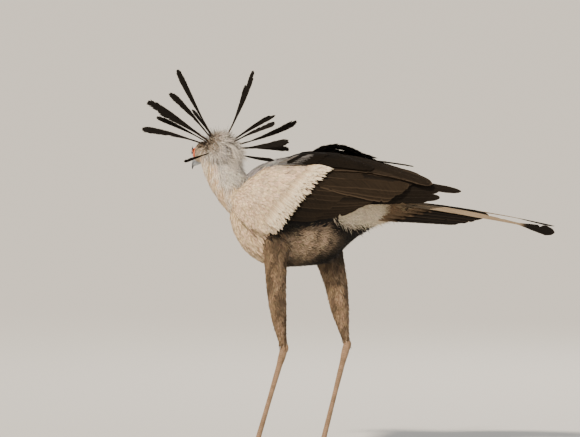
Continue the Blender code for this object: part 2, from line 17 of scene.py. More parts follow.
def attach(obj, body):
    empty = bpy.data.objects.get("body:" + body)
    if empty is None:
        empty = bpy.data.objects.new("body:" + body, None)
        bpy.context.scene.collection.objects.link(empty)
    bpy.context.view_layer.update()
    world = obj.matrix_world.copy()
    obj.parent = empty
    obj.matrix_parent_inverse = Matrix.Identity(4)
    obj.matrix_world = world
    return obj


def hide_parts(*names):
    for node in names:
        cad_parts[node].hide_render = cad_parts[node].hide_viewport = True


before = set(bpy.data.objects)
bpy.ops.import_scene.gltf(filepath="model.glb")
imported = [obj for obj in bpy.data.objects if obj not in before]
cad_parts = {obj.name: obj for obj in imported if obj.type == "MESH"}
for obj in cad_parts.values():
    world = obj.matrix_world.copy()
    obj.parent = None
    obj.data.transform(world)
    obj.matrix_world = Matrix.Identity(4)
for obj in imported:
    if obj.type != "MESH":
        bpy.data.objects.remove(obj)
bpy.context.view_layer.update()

LEFT, RIGHT = -1, 1
UP = np.array((0.0, 0.0, 1.0))

# The torso from breast to rump: x, y, z, half height, half width
TORSO = [
    (-339, 0, 688, 28, 18),
    (-324, 0, 684, 72, 42),
    (-286, 0, 680, 120, 68),
    (-225, 0, 680, 152, 87),
    (-140, 0, 687.5, 161.5, 92),
    (-60, 0, 694, 154, 83),
    (5, 0, 710, 114, 62),
    (58, 0, 713, 77, 42),
    (100, 0, 708.5, 55.5, 28),
    (128, 0, 704, 38, 15),
]
NECK = [
    (-276, 0, 672, 40, 44),
    (-318, 0, 724, 50, 49),
    (-350, 1, 776, 53, 44),
    (-368, 5, 821, 55, 40),
    (-379, 9, 853, 49, 36),
    (-386, 11, 878, 28, 26),
]
THIGHS = {
    LEFT: [
        (-205, -50, 640, 50, 33),
        (-208, -58, 576, 38, 32),
        (-207, -59, 476, 31, 28),
        (-200, -57, 391, 26, 24),
        (-191, -54, 330, 17, 16),
        (-184, -53, 300, 11, 10),
    ],
    RIGHT: [
        (-74, 44, 628, 52, 34),
        (-54, 48, 545, 43, 31),
        (-38, 45, 484, 36, 28),
        (-26, 37, 410, 30, 25),
        (-13, 31, 340, 18, 17),
        (-4, 29, 306, 11, 10),
    ],
}
RUMP = [
    (40, 0, 704, 28, 14),
    (92, 0, 697, 34, 20),
    (146, 0, 690, 30, 21),
    (196, 0, 685, 21, 17),
    (236, 0, 683, 8, 10),
]

# The head, in a frame of its own: forward, left and up from its centre
HEAD_CENTRE = np.array((-418.0, 34.0, 845.0))
HEAD_YAW, HEAD_PITCH, HEAD_ROLL = 65, 17, 10
HEAD_REACH = 54  # from the centre, the part whose skin is finer and folded
# Skull and bill: forward, up, half thickness, half width. Eye and brow: forward, left, up
SKULL = [
    (-43, 1, 20, 20),
    (-27, 3, 30, 28),
    (-6, 6, 32, 28),
    (13, 2, 27, 23),
    (27, -4, 17, 15),
    (33, -7, 11, 10),
]
EYE = (14, 15.4, 6)
EYE_RADIUS = 8.6
LID_RINGS, LID_TURNS = 3, 56
LASHES = 40
UPPER_BILL = [
    (22, -1, 12.5, 10.5),
    (36, 1, 12, 9.6),
    (50, -1, 10, 7.4),
    (62, -8, 6.6, 4.8),
    (69, -17, 3.4, 2.6),
    (70, -24, 1.3, 1.0),
]
LOWER_BILL = [
    (13, -12, 3.0, 4.0),
    (24, -14.5, 6.2, 8.8),
    (36, -14.5, 5.8, 7.8),
    (50, -14.5, 4.6, 5.8),
    (60, -15.5, 2.6, 3.2),
]
BROW = [(-6, 19, 15), (5, 22.5, 16.5), (17, 22, 15), (27, 16, 9)]
NOSTRIL = (37, 3.5)  # forward, up
CERE_EDGE = 41  # the soft skin at the bill's root ends here

# The crest's quills, from a hub on the nape: angle from +X, length, depth of the tip, width, upward bow
HUB = np.array((-368.0, -6.0, 862.0))
NAPE_RADII = np.array((47.0, 38.0, 46.0))
QUILLS = [
    (197, 104, -78, 10, 0),
    (165, 225, -16, 20, 7),
    (153, 200, 20, 16, 4),
    (146, 243, -26, 22, 5),
    (149, 205, 52, 15, 5),
    (131.5, 211, 14, 20, 5),
    (124, 138, -40, 11, 3),
    (118, 256, -6, 18, -3),
    (68, 196, 26, 12, -8),
    (67, 243, -4, 15, -8),
    (32.5, 170, 54, 14, 3),
    (31.5, 184, 22, 10, 3),
    (26, 172, -34, 15, 4),
    (20, 230, 4, 21, -8),
    (7, 192, -22, 22, -5),
    (0, 195, 30, 16, 5),
    (-11, 155, -12, 12, -4),
]
SPIKES = 130  # short dark feathers on the crown
MANE_FEATHERS = 1700

# The folded wing: x, lower edge, upper edge, distance from the middle of the bird
WING = np.array(
    [
        (-340, 692, 738, 66),
        (-332, 676, 750, 76),
        (-318, 658, 764, 85),
        (-290, 637, 792, 97),
        (-245, 625, 822, 109),
        (-185, 622, 838, 115),
        (-95, 650, 846, 117),
        (25, 678, 850, 97),
        (330, 716, 786, 30),
    ],
    float,
)
ARM_THICKNESS = 20
LOFT = 3.5  # how far the pale coverts stand out over that surface
ARM_FRONT, ARM_BACK = -337, -38
# Where the arm's lower edge starts to climb along the pale coverts' edge: x, z, and how steeply
ARM_CLIMB = (-218, 622, 1.25)
STEP = 1.1  # from the face of one flight feather to the face of the next
PRIMARIES = [
    ((-62, 716), (232, 719)),
    ((-53, 724), (262, 724)),
    ((-44, 737), (240, 734)),
    ((-35, 750), (258, 744)),
    ((-30, 770), (236, 757)),
    ((-26, 804), (322, 743)),
]
# Tiers: count, first root, last root, first tip, last tip (x, z), width, lifts at root and tip,
# bow of the first and of the last, profile
TIERS = {
    "secondary": (15, (-200, 681), (-94, 826), (10, 699), (214, 784), 40, (-10, -10), (-3, 12), "flight"),
    "dark_covert": (11, (-196, 684), (-100, 804), (-88, 679), (60, 786), 32, (-7, -7.5), (-3, 6), "blunt"),
    "long_covert": (4, (-88, 782), (-78, 776), (172, 764), (126, 734), 52, (-6.5, -7), (8, 2), "blunt"),
    "tertial": (11, (-112, 816), (-96, 848), (238, 766), (104, 814), 32, (-6, -4), (24, 8), "flight"),
    "scapular": (10, (-150, 832), (-122, 851), (70, 812), (-14, 842), 24, (-3, 1), (5, 3), "blunt"),
    "short_scapular": (11, (-176, 830), (-136, 850), (-92, 823), (-60, 847), 17, (-1, 3), (3, 2), "covert"),
    "mantle": (13, (-204, 828), (-158, 847), (-130, 823), (-100, 846), 14, (-6, 4), (2, 2), "covert"),
}
# The pale edge over the dark flight feathers, from the bottom up, and how it faces
COVERT_LINE = np.array([(-198, 632), (-160, 679), (-124, 727), (-92, 766), (-46, 807)], float)
COVERT_FACING = np.array((0.757, -0.654))
# Rows of pointed coverts along it: how far back, count, length, width, lift
COVERT_ROWS = [(0, 28, 44, 9, -0.6), (7, 34, 40, 9.5, 0.2), (16, 40, 36, 10, 0.9), (26, 42, 34, 10.5, 1.5)]
# Scapulars blown up off the back on the far side: root and tip (x, y, z), width, rise, how many
RUFFLED = [
    ((-118, 34, 842), (36, 16, 846), 24, 26, 5),
    ((-92, 46, 840), (62, 34, 838), 26, 12, 3),
    ((-60, 54, 832), (182, 40, 812), 11, 6, 1),
]

# The tail's root (x, high z, low z), and its pairs: tip x, tip z, sideways reach, width
TAIL_ROOT = (84, 711, 668)
TAIL_TILT = 42
STREAMER_TILT = {LEFT: 40, RIGHT: 12}
STREAMER_TWIST = {LEFT: 32, RIGHT: 0}
TAIL_PAIRS = [
    (586, 634, 9, 33),
    (396, 673, 16, 38),
    (386, 669, 19.5, 38),
    (368, 664, 23, 37),
    (346, 660, 26.5, 36),
    (318, 656, 30, 34),
]

# From one plate to the next on the tarsus and on the toes
TARSUS_PITCH, TOE_PITCH = 5.2, 3.6
TARSUS_LENGTH = 305
ANKLES = {LEFT: (-183, -53, 302), RIGHT: (-4, 29, 308)}
FEET = {LEFT: (-268, -52), RIGHT: (-78, 26)}
# Share of the way from ankle to foot, half thickness, half width
TARSUS_RADII = [
    (0, 9.5, 8.5),
    (0.05, 12.5, 11.5),
    (0.14, 8.5, 8),
    (0.5, 6.6, 6.4),
    (0.86, 7.2, 7.4),
    (1, 8.5, 9.5),
]
# Toes: angle inwards from straight ahead, length, radius.
# Their spans: share of the length, height, share of the radius
TOES = [("middle", 0, 60, 8), ("inner", 32, 44, 7.4), ("outer", -34, 46, 7.4), ("hind", 180, 30, 7)]
TOE_SPANS = [
    (-0.12, 9, 1.0),
    (0.12, 7.4, 1.06),
    (0.45, 5.8, 0.9),
    (0.78, 4.8, 0.78),
    (0.95, 4.3, 0.64),
    (1.01, 4.1, 0.3),
]
TOE_PLATES = 1.1  # a toe's plates run on past its length by this
CLAW_LENGTH = 17
CLAW_SPANS = [(-0.1, 4.2, 2.9), (0.4, 6.0, 2.6), (0.75, 4.6, 1.7), (1.0, 1.2, 0.5)]

# How deep the skin lies inside each solid
SKIN_DEPTH = {"torso": 5, "neck": 5, "head": 2.2, "nape": 5, "thigh": 5, "wing": 5.5, "rump": 4}
SKIN_VOXEL = 3.3

# Tracts of the coat: spacing, strands to a root, fan in degrees, length, width,
# rise and curl of the tip, shape
TRACTS = {
    "breast": (4.4, 1, 0, 20, 6.4, 0.15, 0.08, "lance"),
    "back": (5.6, 1, 0, 28, 13, 0.10, 0.06, "round"),
    "belly": (4.5, 3, 30, 19, 1.9, 0.28, 0.12, "down"),
    "vent": (4.6, 4, 24, 30, 1.6, 0.20, 0.10, "wisp"),
    "neck": (3.7, 2, 20, 21, 2.5, 0.20, 0.10, "lance"),
    "nape": (3.3, 3, 30, 36, 1.5, 0.27, 0.10, "wisp"),
    "head": (2.0, 1, 0, 8.0, 2.3, 0.20, 0.10, "lance"),
    "thigh": (3.5, 2, 24, 18, 3.0, 0.20, 0.09, "lance"),
    "wing": (4.1, 1, 0, 20, 7.6, 0.10, 0.05, "lance"),
    "rump": (5.4, 2, 14, 30, 6, 0.12, 0.04, "lance"),
}

# Colours of the plumage and the bare face (linear)
CREAM = (0.78, 0.56, 0.35)
WHITE = (0.92, 0.81, 0.68)
COVERT = (0.74, 0.53, 0.34)
COVERT_TIP = (0.90, 0.72, 0.50)
DUSK = (0.30, 0.21, 0.14)
SLATE = (0.20, 0.19, 0.185)
UMBER = (0.20, 0.13, 0.075)
MOTTLE = (0.46, 0.33, 0.215)
BLACK = (0.0060, 0.0048, 0.0038)
BROWN = (0.036, 0.024, 0.014)
TAIL_BROWN = (0.25, 0.16, 0.09)
STRAW = (0.40, 0.29, 0.17)
STREAMER = (0.21, 0.155, 0.10)
# Painted shade for the white nape wisps: a blue-grey, and a darker grey
NAPE_BLUE_SHADE = (0.30, 0.31, 0.34)
NAPE_SHADE = (0.11, 0.11, 0.12)
# Painted shade for the fold where the neck meets the shoulder
NECK_FOLD_SHADE = (0.56, 0.36, 0.20)
CHEEK = (0.50, 0.39, 0.27)
# Partly the crown's own dark brown, partly painted shade under the crest's quills
CROWN_DARK_AND_SHADE = (0.10, 0.068, 0.045)
VENT_WHITE = (0.90, 0.74, 0.52)
THIGH_TAN = (0.30, 0.20, 0.12)
COVERT_BROWN = (0.50, 0.38, 0.27)
COVERT_GREY = (0.34, 0.32, 0.31)
FACE_ORANGE = (0.86, 0.15, 0.055)
FACE_YELLOW = (0.82, 0.40, 0.11)

# Places drawn on each body, and how many are kept for each root before they are thinned out
CANDIDATES, SURPLUS = 90000, 2.2
# The closest set tract of a body that has several
FINEST = {"torso": "breast", "neck": "nape", "rump": "vent"}
# The unwrap of the skin: each body has a cell of its own, and each feather a small patch
CHARTS = [
    "torso",
    "neck",
    "head",
    "nape",
    "thigh_left",
    "thigh_right",
    "wing_left",
    "wing_right",
    "rump",
    "crest",
]
PATCH = 0.003
# Small feathers by shape: stations from root to tip, and the share of the width at each
SHAPES = {
    "round": ((0.0, 0.3, 0.66, 0.9), (0.42, 0.9, 1.0, 0.62)),
    "lance": ((0.0, 0.4, 0.78), (0.55, 1.0, 0.66)),
    "wisp": ((0.0, 0.36, 0.72), (0.8, 1.0, 0.6)),
    "down": ((0.0, 0.5), (0.9, 1.0)),
    "barb": ((0.0, 0.7), (1.0, 0.9)),
}
# Large feathers by shape: shares of the length, and the half width there as a share of the whole width
PROFILES = {
    "quill": ((0, 0.35, 0.6, 0.8, 0.9, 1), (0.1, 0.12, 0.38, 0.5, 0.4, 0.04)),
    "flight": ((0, 0.2, 0.6, 0.88, 0.95, 0.985, 1), (0.3, 0.46, 0.5, 0.44, 0.35, 0.2, 0.04)),
    "blunt": ((0, 0.3, 0.7, 0.88, 0.95, 0.985, 1), (0.3, 0.46, 0.5, 0.46, 0.38, 0.24, 0.06)),
    "covert": ((0, 0.3, 0.6, 0.8, 0.93, 1), (0.34, 0.5, 0.46, 0.32, 0.14, 0.02)),
    "streamer": (
        (0, 0.3, 0.56, 0.7, 0.79, 0.87, 0.95, 0.985, 1),
        (0.4, 0.3, 0.25, 0.16, 0.1, 0.3, 0.46, 0.3, 0.05),
    ),
}
# The columns across a large vane, from one edge to the other
COLUMNS = np.array((1.0, 0.72, 0.34, 0.0, -0.34, -0.72, -1.0))
# Rows along a feather on the wing, a covert, a tail feather and a barbed feather
WING_ROWS, COVERT_STATIONS, TAIL_ROWS, BARBED_ROWS = 44, 12, 56, 48
VANE_THICKNESS = 0.8
BARB_PITCH = 0.55
# How brown each tier of the wing is: for all of it, and by each feather's own number
BROWNING = {"scapular": (0, 0), "short_scapular": (0, 0), "long_covert": (0.4, 0), "tertial": (0, 0.2)}
# The pale coverts stay under this line, where the scapulars begin: places along the bird, heights
COVERT_TOP = ((-145, -45), (827, 811))
# The solids of flesh that the one skin stands for, by how their names start
FLESH = ("torso", "neck", "head", "crest", "thigh", "wing", "tail")
# The camera: the photograph's width in pixels, metres to a pixel, distance, tilt and what it looks at
PHOTO_WIDTH, PIXEL = 580, 0.00285
CAMERA_DISTANCE, CAMERA_TILT = 22.0, 3
CAMERA_TARGET = (-0.168, 0, 0.665)


def unit(vectors):
    return vectors / np.maximum(np.linalg.norm(vectors, axis=-1, keepdims=True), 1e-9)


def dice(name):
    """Random numbers that are the same on each run."""
    return np.random.default_rng(sum(ord(c) * (i + 3) for i, c in enumerate(name)))


def rows_at(rows, t):
    """The rows at each t, from 0 to 1, on a smooth curve through them."""
    place = np.clip(t, 0, 1) * (len(rows) - 1)
    i = np.minimum(place.astype(int), len(rows) - 2)
    u = (place - i)[:, None]
    a, b, c, d = rows[np.maximum(i - 1, 0)], rows[i], rows[i + 1], rows[np.minimum(i + 2, len(rows) - 1)]
    return 0.5 * (2 * b + (c - a) * u + (2 * a - 5 * b + 4 * c - d) * u**2 + (3 * b - a - 3 * c + d) * u**3)


def signed_power(value, power):
    return np.sign(value) * np.abs(value) ** power


def head_axes():
    """Forward, left and up of the turned head."""
    yaw, pitch, roll = (math.radians(v) for v in (HEAD_YAW, HEAD_PITCH, HEAD_ROLL))
    level = math.cos(pitch)
    forward = np.array((-math.cos(yaw) * level, math.sin(yaw) * level, -math.sin(pitch)))
    level_left = np.array((-math.sin(yaw), -math.cos(yaw), 0.0))
    level_up = np.cross(forward, level_left)
    left = level_left * math.cos(roll) + level_up * math.sin(roll)
    up = level_up * math.cos(roll) - level_left * math.sin(roll)
    return forward, left, up


FORWARD, HEAD_LEFT, HEAD_UP = head_axes()


def on_head(forward, left, up):
    """A point given in the head's own frame, still in millimetres."""
    return HEAD_CENTRE + FORWARD * forward + HEAD_LEFT * left + HEAD_UP * up


def in_head(points):
    """The head's own forward, left and up of points in metres, in millimetres."""
    away = points * 1000 - HEAD_CENTRE
    return np.stack([away @ FORWARD, away @ HEAD_LEFT, away @ HEAD_UP], axis=-1)


class Tube:
    """A body lofted through rows of x, y, z, half thickness, half width, in millimetres.

    Its surface is read at t, from 0 at the first row to 1 at the last, and at an angle round it."""

    def __init__(self, rows, side=(0.0, 1.0, 0.0), upright=False, squareness=2.0, relief=None):
        self.rows = np.array(rows, float)
        self.side = np.array(side, float)
        self.upright = upright
        self.power = 2 / squareness
        self.relief = relief

    def axes(self, t):
        row = rows_at(self.rows, t)
        if self.upright:
            thick = np.tile((0.0, 0.0, 1.0), (len(t), 1))
            across = np.tile((0.0, 1.0, 0.0), (len(t), 1))
        else:
            along = unit(rows_at(self.rows, t + 0.02)[:, :3] - rows_at(self.rows, t - 0.02)[:, :3])
            across = unit(self.side - along * (along @ self.side)[:, None])
            thick = np.cross(along, across)
        return row[:, :3], thick, across, row[:, 3], row[:, 4]

    def surface(self, t, angle, inset=0.0):
        """Points on the tube, in metres, drawn in by inset millimetres."""
        centre, thick, across, a, b = self.axes(t)
        a = np.maximum(a - inset, 1) if inset else a
        b = np.maximum(b - inset, 1) if inset else b
        if self.relief:
            raised = self.relief(t, angle)
            a, b = a + raised, b + raised
        a = a * signed_power(np.cos(angle), self.power)
        b = b * signed_power(np.sin(angle), self.power)
        return (centre + thick * a[:, None] + across * b[:, None]) * 0.001


class Ball:
    """An ellipsoid, read as a tube is, from its top to its bottom."""

    def __init__(self, centre, radii):
        self.centre, self.radii = centre, radii

    def surface(self, t, angle, inset=0.0):
        lat = np.clip(t, 0.01, 0.99) * math.pi
        way = np.stack([np.sin(lat) * np.cos(angle), np.sin(lat) * np.sin(angle), np.cos(lat)], axis=-1)
        return (self.centre + way * (self.radii - inset)) * 0.001


def flank(x, z):
    """Points of the folded wing's outer surface, on the +Y side, in millimetres."""
    low, high, out = (np.interp(x, WING[:, 0], WING[:, k]) for k in (1, 2, 3))
    h = (z - low) / (high - low)
    over = 1 - 0.52 * np.minimum((h - 0.4) / 0.6, 1.25) ** 2
    under = 1 - 0.08 * np.minimum((0.4 - h) / 0.4, 1.5) ** 2
    return np.stack([x, out * np.where(h > 0.4, over, under), z], axis=-1)


def flank_normal(x, z):
    """Which way that surface looks, evened out over a hand's breadth."""
    reach = 14.0
    along = flank(x + reach, z) - flank(x - reach, z)
    upward = flank(x, z + reach) - flank(x, z - reach)
    normal = unit(np.cross(along, upward))
    return normal * np.sign(normal[..., 1:2])


def off_flank(x, z, lift):
    """Points so many millimetres out from the folded wing's surface, in metres."""
    return (flank(x, z) + flank_normal(x, z) * np.asarray(lift)[..., None]) * 0.001


class Arm:
    """The shoulder and forearm of a folded wing: lens-shaped sections set along the body."""

    def __init__(self, side):
        self.side = side

    def surface(self, t, angle, inset=0.0):
        x = ARM_FRONT + (ARM_BACK - ARM_FRONT) * t
        low = np.interp(x, WING[:, 0], WING[:, 1])
        low = np.where(x > ARM_CLIMB[0], ARM_CLIMB[1] + (x - ARM_CLIMB[0]) * ARM_CLIMB[2], low)
        high = np.interp(x, WING[:, 0], WING[:, 2])
        share = (1 - np.cos(angle)) / 2
        z = low + inset + (high - low - 2 * inset) * share
        fullness = np.sin(math.pi * np.clip(t * 0.97 + 0.02, 0, 1)) ** 0.45
        half = 0.6 + (ARM_THICKNESS / 2 - 0.6 - inset) * np.abs(np.sin(angle)) ** 1.2 * fullness
        points = off_flank(x, z, LOFT - ARM_THICKNESS / 2 + half * np.sign(np.sin(angle)))
        points[:, 1] *= self.side
        return points


def make_bodies():
    """The bodies that the skin wraps: name, chart and body."""
    skull = [(*on_head(f, 0, u), a, b) for f, u, a, b in SKULL]
    return [
        ("torso", "torso", Tube(TORSO, upright=True, squareness=2.15)),
        ("neck", "neck", Tube(NECK)),
        ("head", "head", Tube(skull, HEAD_LEFT)),
        ("nape", "nape", Ball(HUB, NAPE_RADII)),
        ("thigh", "thigh_left", Tube(THIGHS[LEFT])),
        ("thigh", "thigh_right", Tube(THIGHS[RIGHT])),
        ("wing", "wing_left", Arm(LEFT)),
        ("wing", "wing_right", Arm(RIGHT)),
        ("rump", "rump", Tube(RUMP)),
    ]


def add_body(bm, body, sides, rings, inset=0.0):
    """Adds a closed skin over a body: a sphere whose parallels become the body's sections."""
    made = bmesh.ops.create_uvsphere(bm, u_segments=sides, v_segments=rings, radius=1)["verts"]
    ball = np.array([v.co for v in made])
    parallel = np.arccos(np.clip(ball[:, 2], -1, 1)) / math.pi * rings
    t = np.clip((parallel - 1) / (rings - 2), 0, 1)
    angle = np.arctan2(ball[:, 1], ball[:, 0])
    points = body.surface(t, angle, inset)
    for end in (0.0, 1.0):
        pole = np.isclose(parallel, end * rings, atol=0.3)
        rim = np.linspace(0, 2 * math.pi, 16, endpoint=False)
        points[pole] = body.surface(np.full(16, end), rim, inset).mean(axis=0)
    for v, point in zip(made, points):
        v.co = point
    return made


def object_from(bm, name, material, sharp=None):
    """A new object from a bmesh, its faces turned out and its shading smooth."""
    bmesh.ops.recalc_face_normals(bm, faces=bm.faces)
    mesh = bpy.data.meshes.new(name)
    bm.to_mesh(mesh)
    bm.free()
    mesh.materials.append(material)
    obj = bpy.data.objects.new(name, mesh)
    bpy.context.scene.collection.objects.link(obj)
    mesh.shade_smooth()
    if sharp:
        mesh.set_sharp_from_angle(angle=math.radians(sharp))
    return obj


def even_out(bm, verts):
    """One round of smoothing."""
    bmesh.ops.smooth_vert(bm, verts=verts, factor=0.5, use_axis_x=True, use_axis_y=True, use_axis_z=True)


def fuse(bm, name, material, voxel, rounds):
    """One closed surface round everything in a bmesh, evened out by so many rounds."""
    rough = object_from(bm, name + "_rough", material)
    remesh = rough.modifiers.new("fuse", "REMESH")
    remesh.mode = "VOXEL"
    remesh.voxel_size = voxel * 0.001
    shown = rough.evaluated_get(bpy.context.evaluated_depsgraph_get())
    joined = bpy.data.meshes.new_from_object(shown)
    bpy.data.objects.remove(rough, do_unlink=True)
    bm = bmesh.new()
    bm.from_mesh(joined)
    bpy.data.meshes.remove(joined)
    for _ in range(rounds):
        even_out(bm, bm.verts)
    return object_from(bm, name, material)


class Plumage:
    """Feathers gathered into one mesh, with what their material reads.

    vane holds the share along a feather, the share across it from -1 to 1, and a number of its own."""

    def __init__(self):
        self.points, self.quads, self.triangles = [], [], []
        self.vane, self.tint, self.bake = [], [], []
        self.count = 0

    def add(self, points, quads, triangles, vane, tint, bake):
        self.points.append(points)
        self.quads.append(quads + self.count)
        self.triangles.append(triangles + self.count)
        self.vane.append(vane)
        self.tint.append(tint)
        self.bake.append(bake)
        self.count += len(points)

    def piece(self, name, material, sharp=None):
        """The object, once all of its feathers are in."""
        points = np.concatenate(self.points)
        quads = np.concatenate(self.quads)
        triangles = np.concatenate(self.triangles)
        corners = np.concatenate([quads.ravel(), triangles.ravel()])
        starts = np.concatenate([np.arange(len(quads)) * 4, len(quads) * 4 + np.arange(len(triangles)) * 3])
        mesh = bpy.data.meshes.new(name)
        mesh.vertices.add(len(points))
        mesh.vertices.foreach_set("co", points.ravel())
        mesh.loops.add(len(corners))
        mesh.loops.foreach_set("vertex_index", corners)
        mesh.polygons.add(len(starts))
        mesh.polygons.foreach_set("loop_start", starts)
        mesh.update(calc_edges=True)
        vane = mesh.attributes.new("vane", "FLOAT_VECTOR", "POINT")
        vane.data.foreach_set("vector", np.concatenate(self.vane).ravel())
        tint = mesh.attributes.new("tint", "FLOAT_COLOR", "POINT")
        colours = np.concatenate(self.tint)
        tint.data.foreach_set("color", np.hstack([colours, np.ones((len(colours), 1))]).ravel())
        bake = mesh.uv_layers.new(name="OFBake")
        bake.data.foreach_set("uv", np.concatenate(self.bake)[corners].ravel())
        mesh.materials.append(material)
        mesh.shade_smooth()
        if sharp:
            mesh.set_sharp_from_angle(angle=math.radians(sharp))
        obj = bpy.data.objects.new(name, mesh)
        bpy.context.scene.collection.objects.link(obj)
        return obj


def chart_place(chart, u, v):
    """A place on the skin's unwrap: shares of a body's length and girth, in the body's own cell."""
    cell = CHARTS.index(chart)
    return np.stack([(cell % 4 + 0.04 + 0.92 * u) / 4, (cell // 4 + 0.04 + 0.92 * v) / 3], axis=-1)


def patch_round(place, along, across):
    """The little patch of the unwrap that a feather's points are baked in."""
    return place + np.stack([across, along - 0.5], axis=-1) * (PATCH * np.array((0.5, 1.0)))


def add_feathers(
    plumage,
    roots,
    along,
    normal,
    length,
    width,
    rise,
    curl,
    tint,
    place,
    shape,
    seed,
    uneven=0.16,
    sway=0.07,
):
    """Small closed feathers, one to a root: a ridge along the top, a flat underside, a pointed tip.

    Sizes are in millimetres, rise and curl in shares of the length."""
    roll = dice(seed)
    count = len(roots)
    stations, shares = SHAPES[shape]
    rows = len(stations)
    along = unit(along - normal * np.sum(along * normal, axis=1, keepdims=True))
    across = np.cross(normal, along)
    t = np.append(stations, 1.0)
    length = (np.broadcast_to(length, count) * roll.uniform(1 - uneven, 1 + uneven, count) * 0.001)[:, None]
    width = (np.broadcast_to(width, count) * roll.uniform(1 - uneven, 1 + uneven, count) * 0.0005)[:, None]
    rise = np.broadcast_to(rise, count)[:, None] + roll.normal(0, 0.5 * sway, (count, 1))
    curl = np.broadcast_to(curl, count)[:, None] + roll.normal(0, 0.3 * sway, (count, 1))
    sway = roll.normal(0, sway, (count, 1))
    ahead = (length * t)[..., None] * along[:, None]
    raised = (length * (rise * t - curl * t**2))[..., None] * normal[:, None]
    swayed = (length * sway * t**2)[..., None] * across[:, None]
    middle = roots[:, None] + ahead + raised + swayed
    half = width * np.array(shares)
    ridge = (half * 0.22 + 0.00025)[..., None] * normal[:, None]
    edge = half[..., None] * across[:, None]
    body = middle[:, :rows]
    points = np.stack([body + edge, body + ridge, body - edge], axis=2).reshape(count, rows * 3, 3)
    points = np.concatenate([points, middle[:, rows:]], axis=1)
    stride = rows * 3 + 1
    quads = []
    for r in range(rows - 1):
        a, b = r * 3, r * 3 + 3
        quads += [(a, a + 1, b + 1, b), (a + 1, a + 2, b + 2, b + 1), (a + 2, a, b, b + 2)]
    a, tip = rows * 3 - 3, rows * 3
    triangles = [(a, a + 1, tip), (a + 1, a + 2, tip), (a + 2, a, tip), (0, 2, 1)]
    step = (np.arange(count) * stride)[:, None, None]
    t_point = np.append(np.repeat(stations, 3), 1.0)
    s_point = np.append(np.tile((1.0, 0.0, -1.0), rows), 0.0)
    own = roll.uniform(0, 1, count)
    vane = np.stack([*np.broadcast_arrays(t_point[None], s_point[None], own[:, None])], axis=-1)
    bake = patch_round(place[:, None], *np.broadcast_arrays(t_point[None], s_point[None]))
    plumage.add(
        points.reshape(-1, 3),
        (np.array(quads)[None] + step).reshape(-1, 4),
        (np.array(triangles)[None] + step).reshape(-1, 3),
        vane.reshape(-1, 3),
        np.repeat(tint, stride, axis=0),
        bake.reshape(-1, 2),
    )


def add_blade(plumage, points, normals, tint, place, own, turned=False):
    """A large closed vane over a grid of points, rows from root to tip by columns from side to side.

    tint is one colour for each row."""
    rows, columns = points.shape[:2]
    t = np.linspace(0, 1, rows)
    half = VANE_THICKNESS * 0.0005 * (1 - 0.75 * COLUMNS**2)[None, :, None] * (1 - 0.7 * t)[:, None, None]
    upper = points + normals * half
    lower = points - normals * half
    size = rows * columns
    a = (np.arange(rows - 1)[:, None] * columns + np.arange(columns - 1)[None]).ravel()
    top = np.stack([a, a + 1, a + 1 + columns, a + columns], axis=-1)
    bottom = top[:, ::-1] + size
    first = np.arange(rows - 1) * columns
    last = first + columns - 1
    edges = [
        np.stack([first, first + columns, first + columns + size, first + size], axis=-1),
        np.stack([last + columns, last, last + size, last + columns + size], axis=-1),
    ]
    end = np.arange(columns - 1)
    start = size - columns + end
    edges.append(np.stack([end + 1, end, end + size, end + 1 + size], axis=-1))
    edges.append(np.stack([start, start + 1, start + 1 + size, start + size], axis=-1))
    quads = np.concatenate([top, bottom, *edges])
    if turned:
        quads = quads[:, ::-1]
    t_point = np.tile(np.repeat(t, columns), 2)
    s_point = np.tile(np.tile(COLUMNS, rows), 2)
    vane = np.stack([t_point, s_point, np.full(len(t_point), own)], axis=-1)
    colours = np.tile(np.repeat(tint, columns, axis=0), (2, 1))
    bake = patch_round(place, t_point, s_point)
    joined = np.concatenate([upper.reshape(-1, 3), lower.reshape(-1, 3)])
    plumage.add(joined, quads, np.zeros((0, 3), int), vane, colours, bake)


def add_shaft(plumage, centres, normals, across, radius, tint, place, own):
    """A tapered shaft of three sides along a row of points."""
    rows = len(centres)
    t = np.linspace(0, 1, rows)
    r = (radius * (1 - 0.85 * t) * 0.001)[:, None]
    ring = np.stack([centres + across * r, centres + normals * r * 1.2, centres - across * r], axis=1)
    a = (np.arange(rows - 1) * 3)[:, None]
    sides = ((0, 1, 4, 3), (1, 2, 5, 4), (2, 0, 3, 5))
    quads = np.concatenate([a + np.array(side) for side in sides])
    end = rows * 3 - 3
    triangles = np.array([(0, 2, 1), (end, end + 1, end + 2)])
    t_point = np.repeat(t, 3)
    vane = np.stack([t_point, np.zeros_like(t_point), np.full(len(t_point), own)], axis=-1)
    bake = patch_round(place, t_point, np.zeros_like(t_point))
    plumage.add(ring.reshape(-1, 3), quads, triangles, vane, np.repeat(tint, 3, axis=0), bake)


def ragged(roll, rows, splits, depth):
    """How much of its width each row of an edge keeps, where barbs have parted."""
    keep = 1 - np.abs(roll.normal(0, 0.03, rows))
    for place in roll.integers(rows // 3, rows - 2, roll.integers(0, splits + 1)):
        keep[place] -= depth * roll.uniform(0.2, 1.0)
    return np.clip(keep, 0.3, 1)


def feather_stations(rows):
    """Rows from root to tip, closer together towards the tip."""
    return 1 - (1 - np.linspace(0, 1, rows)) ** 1.35


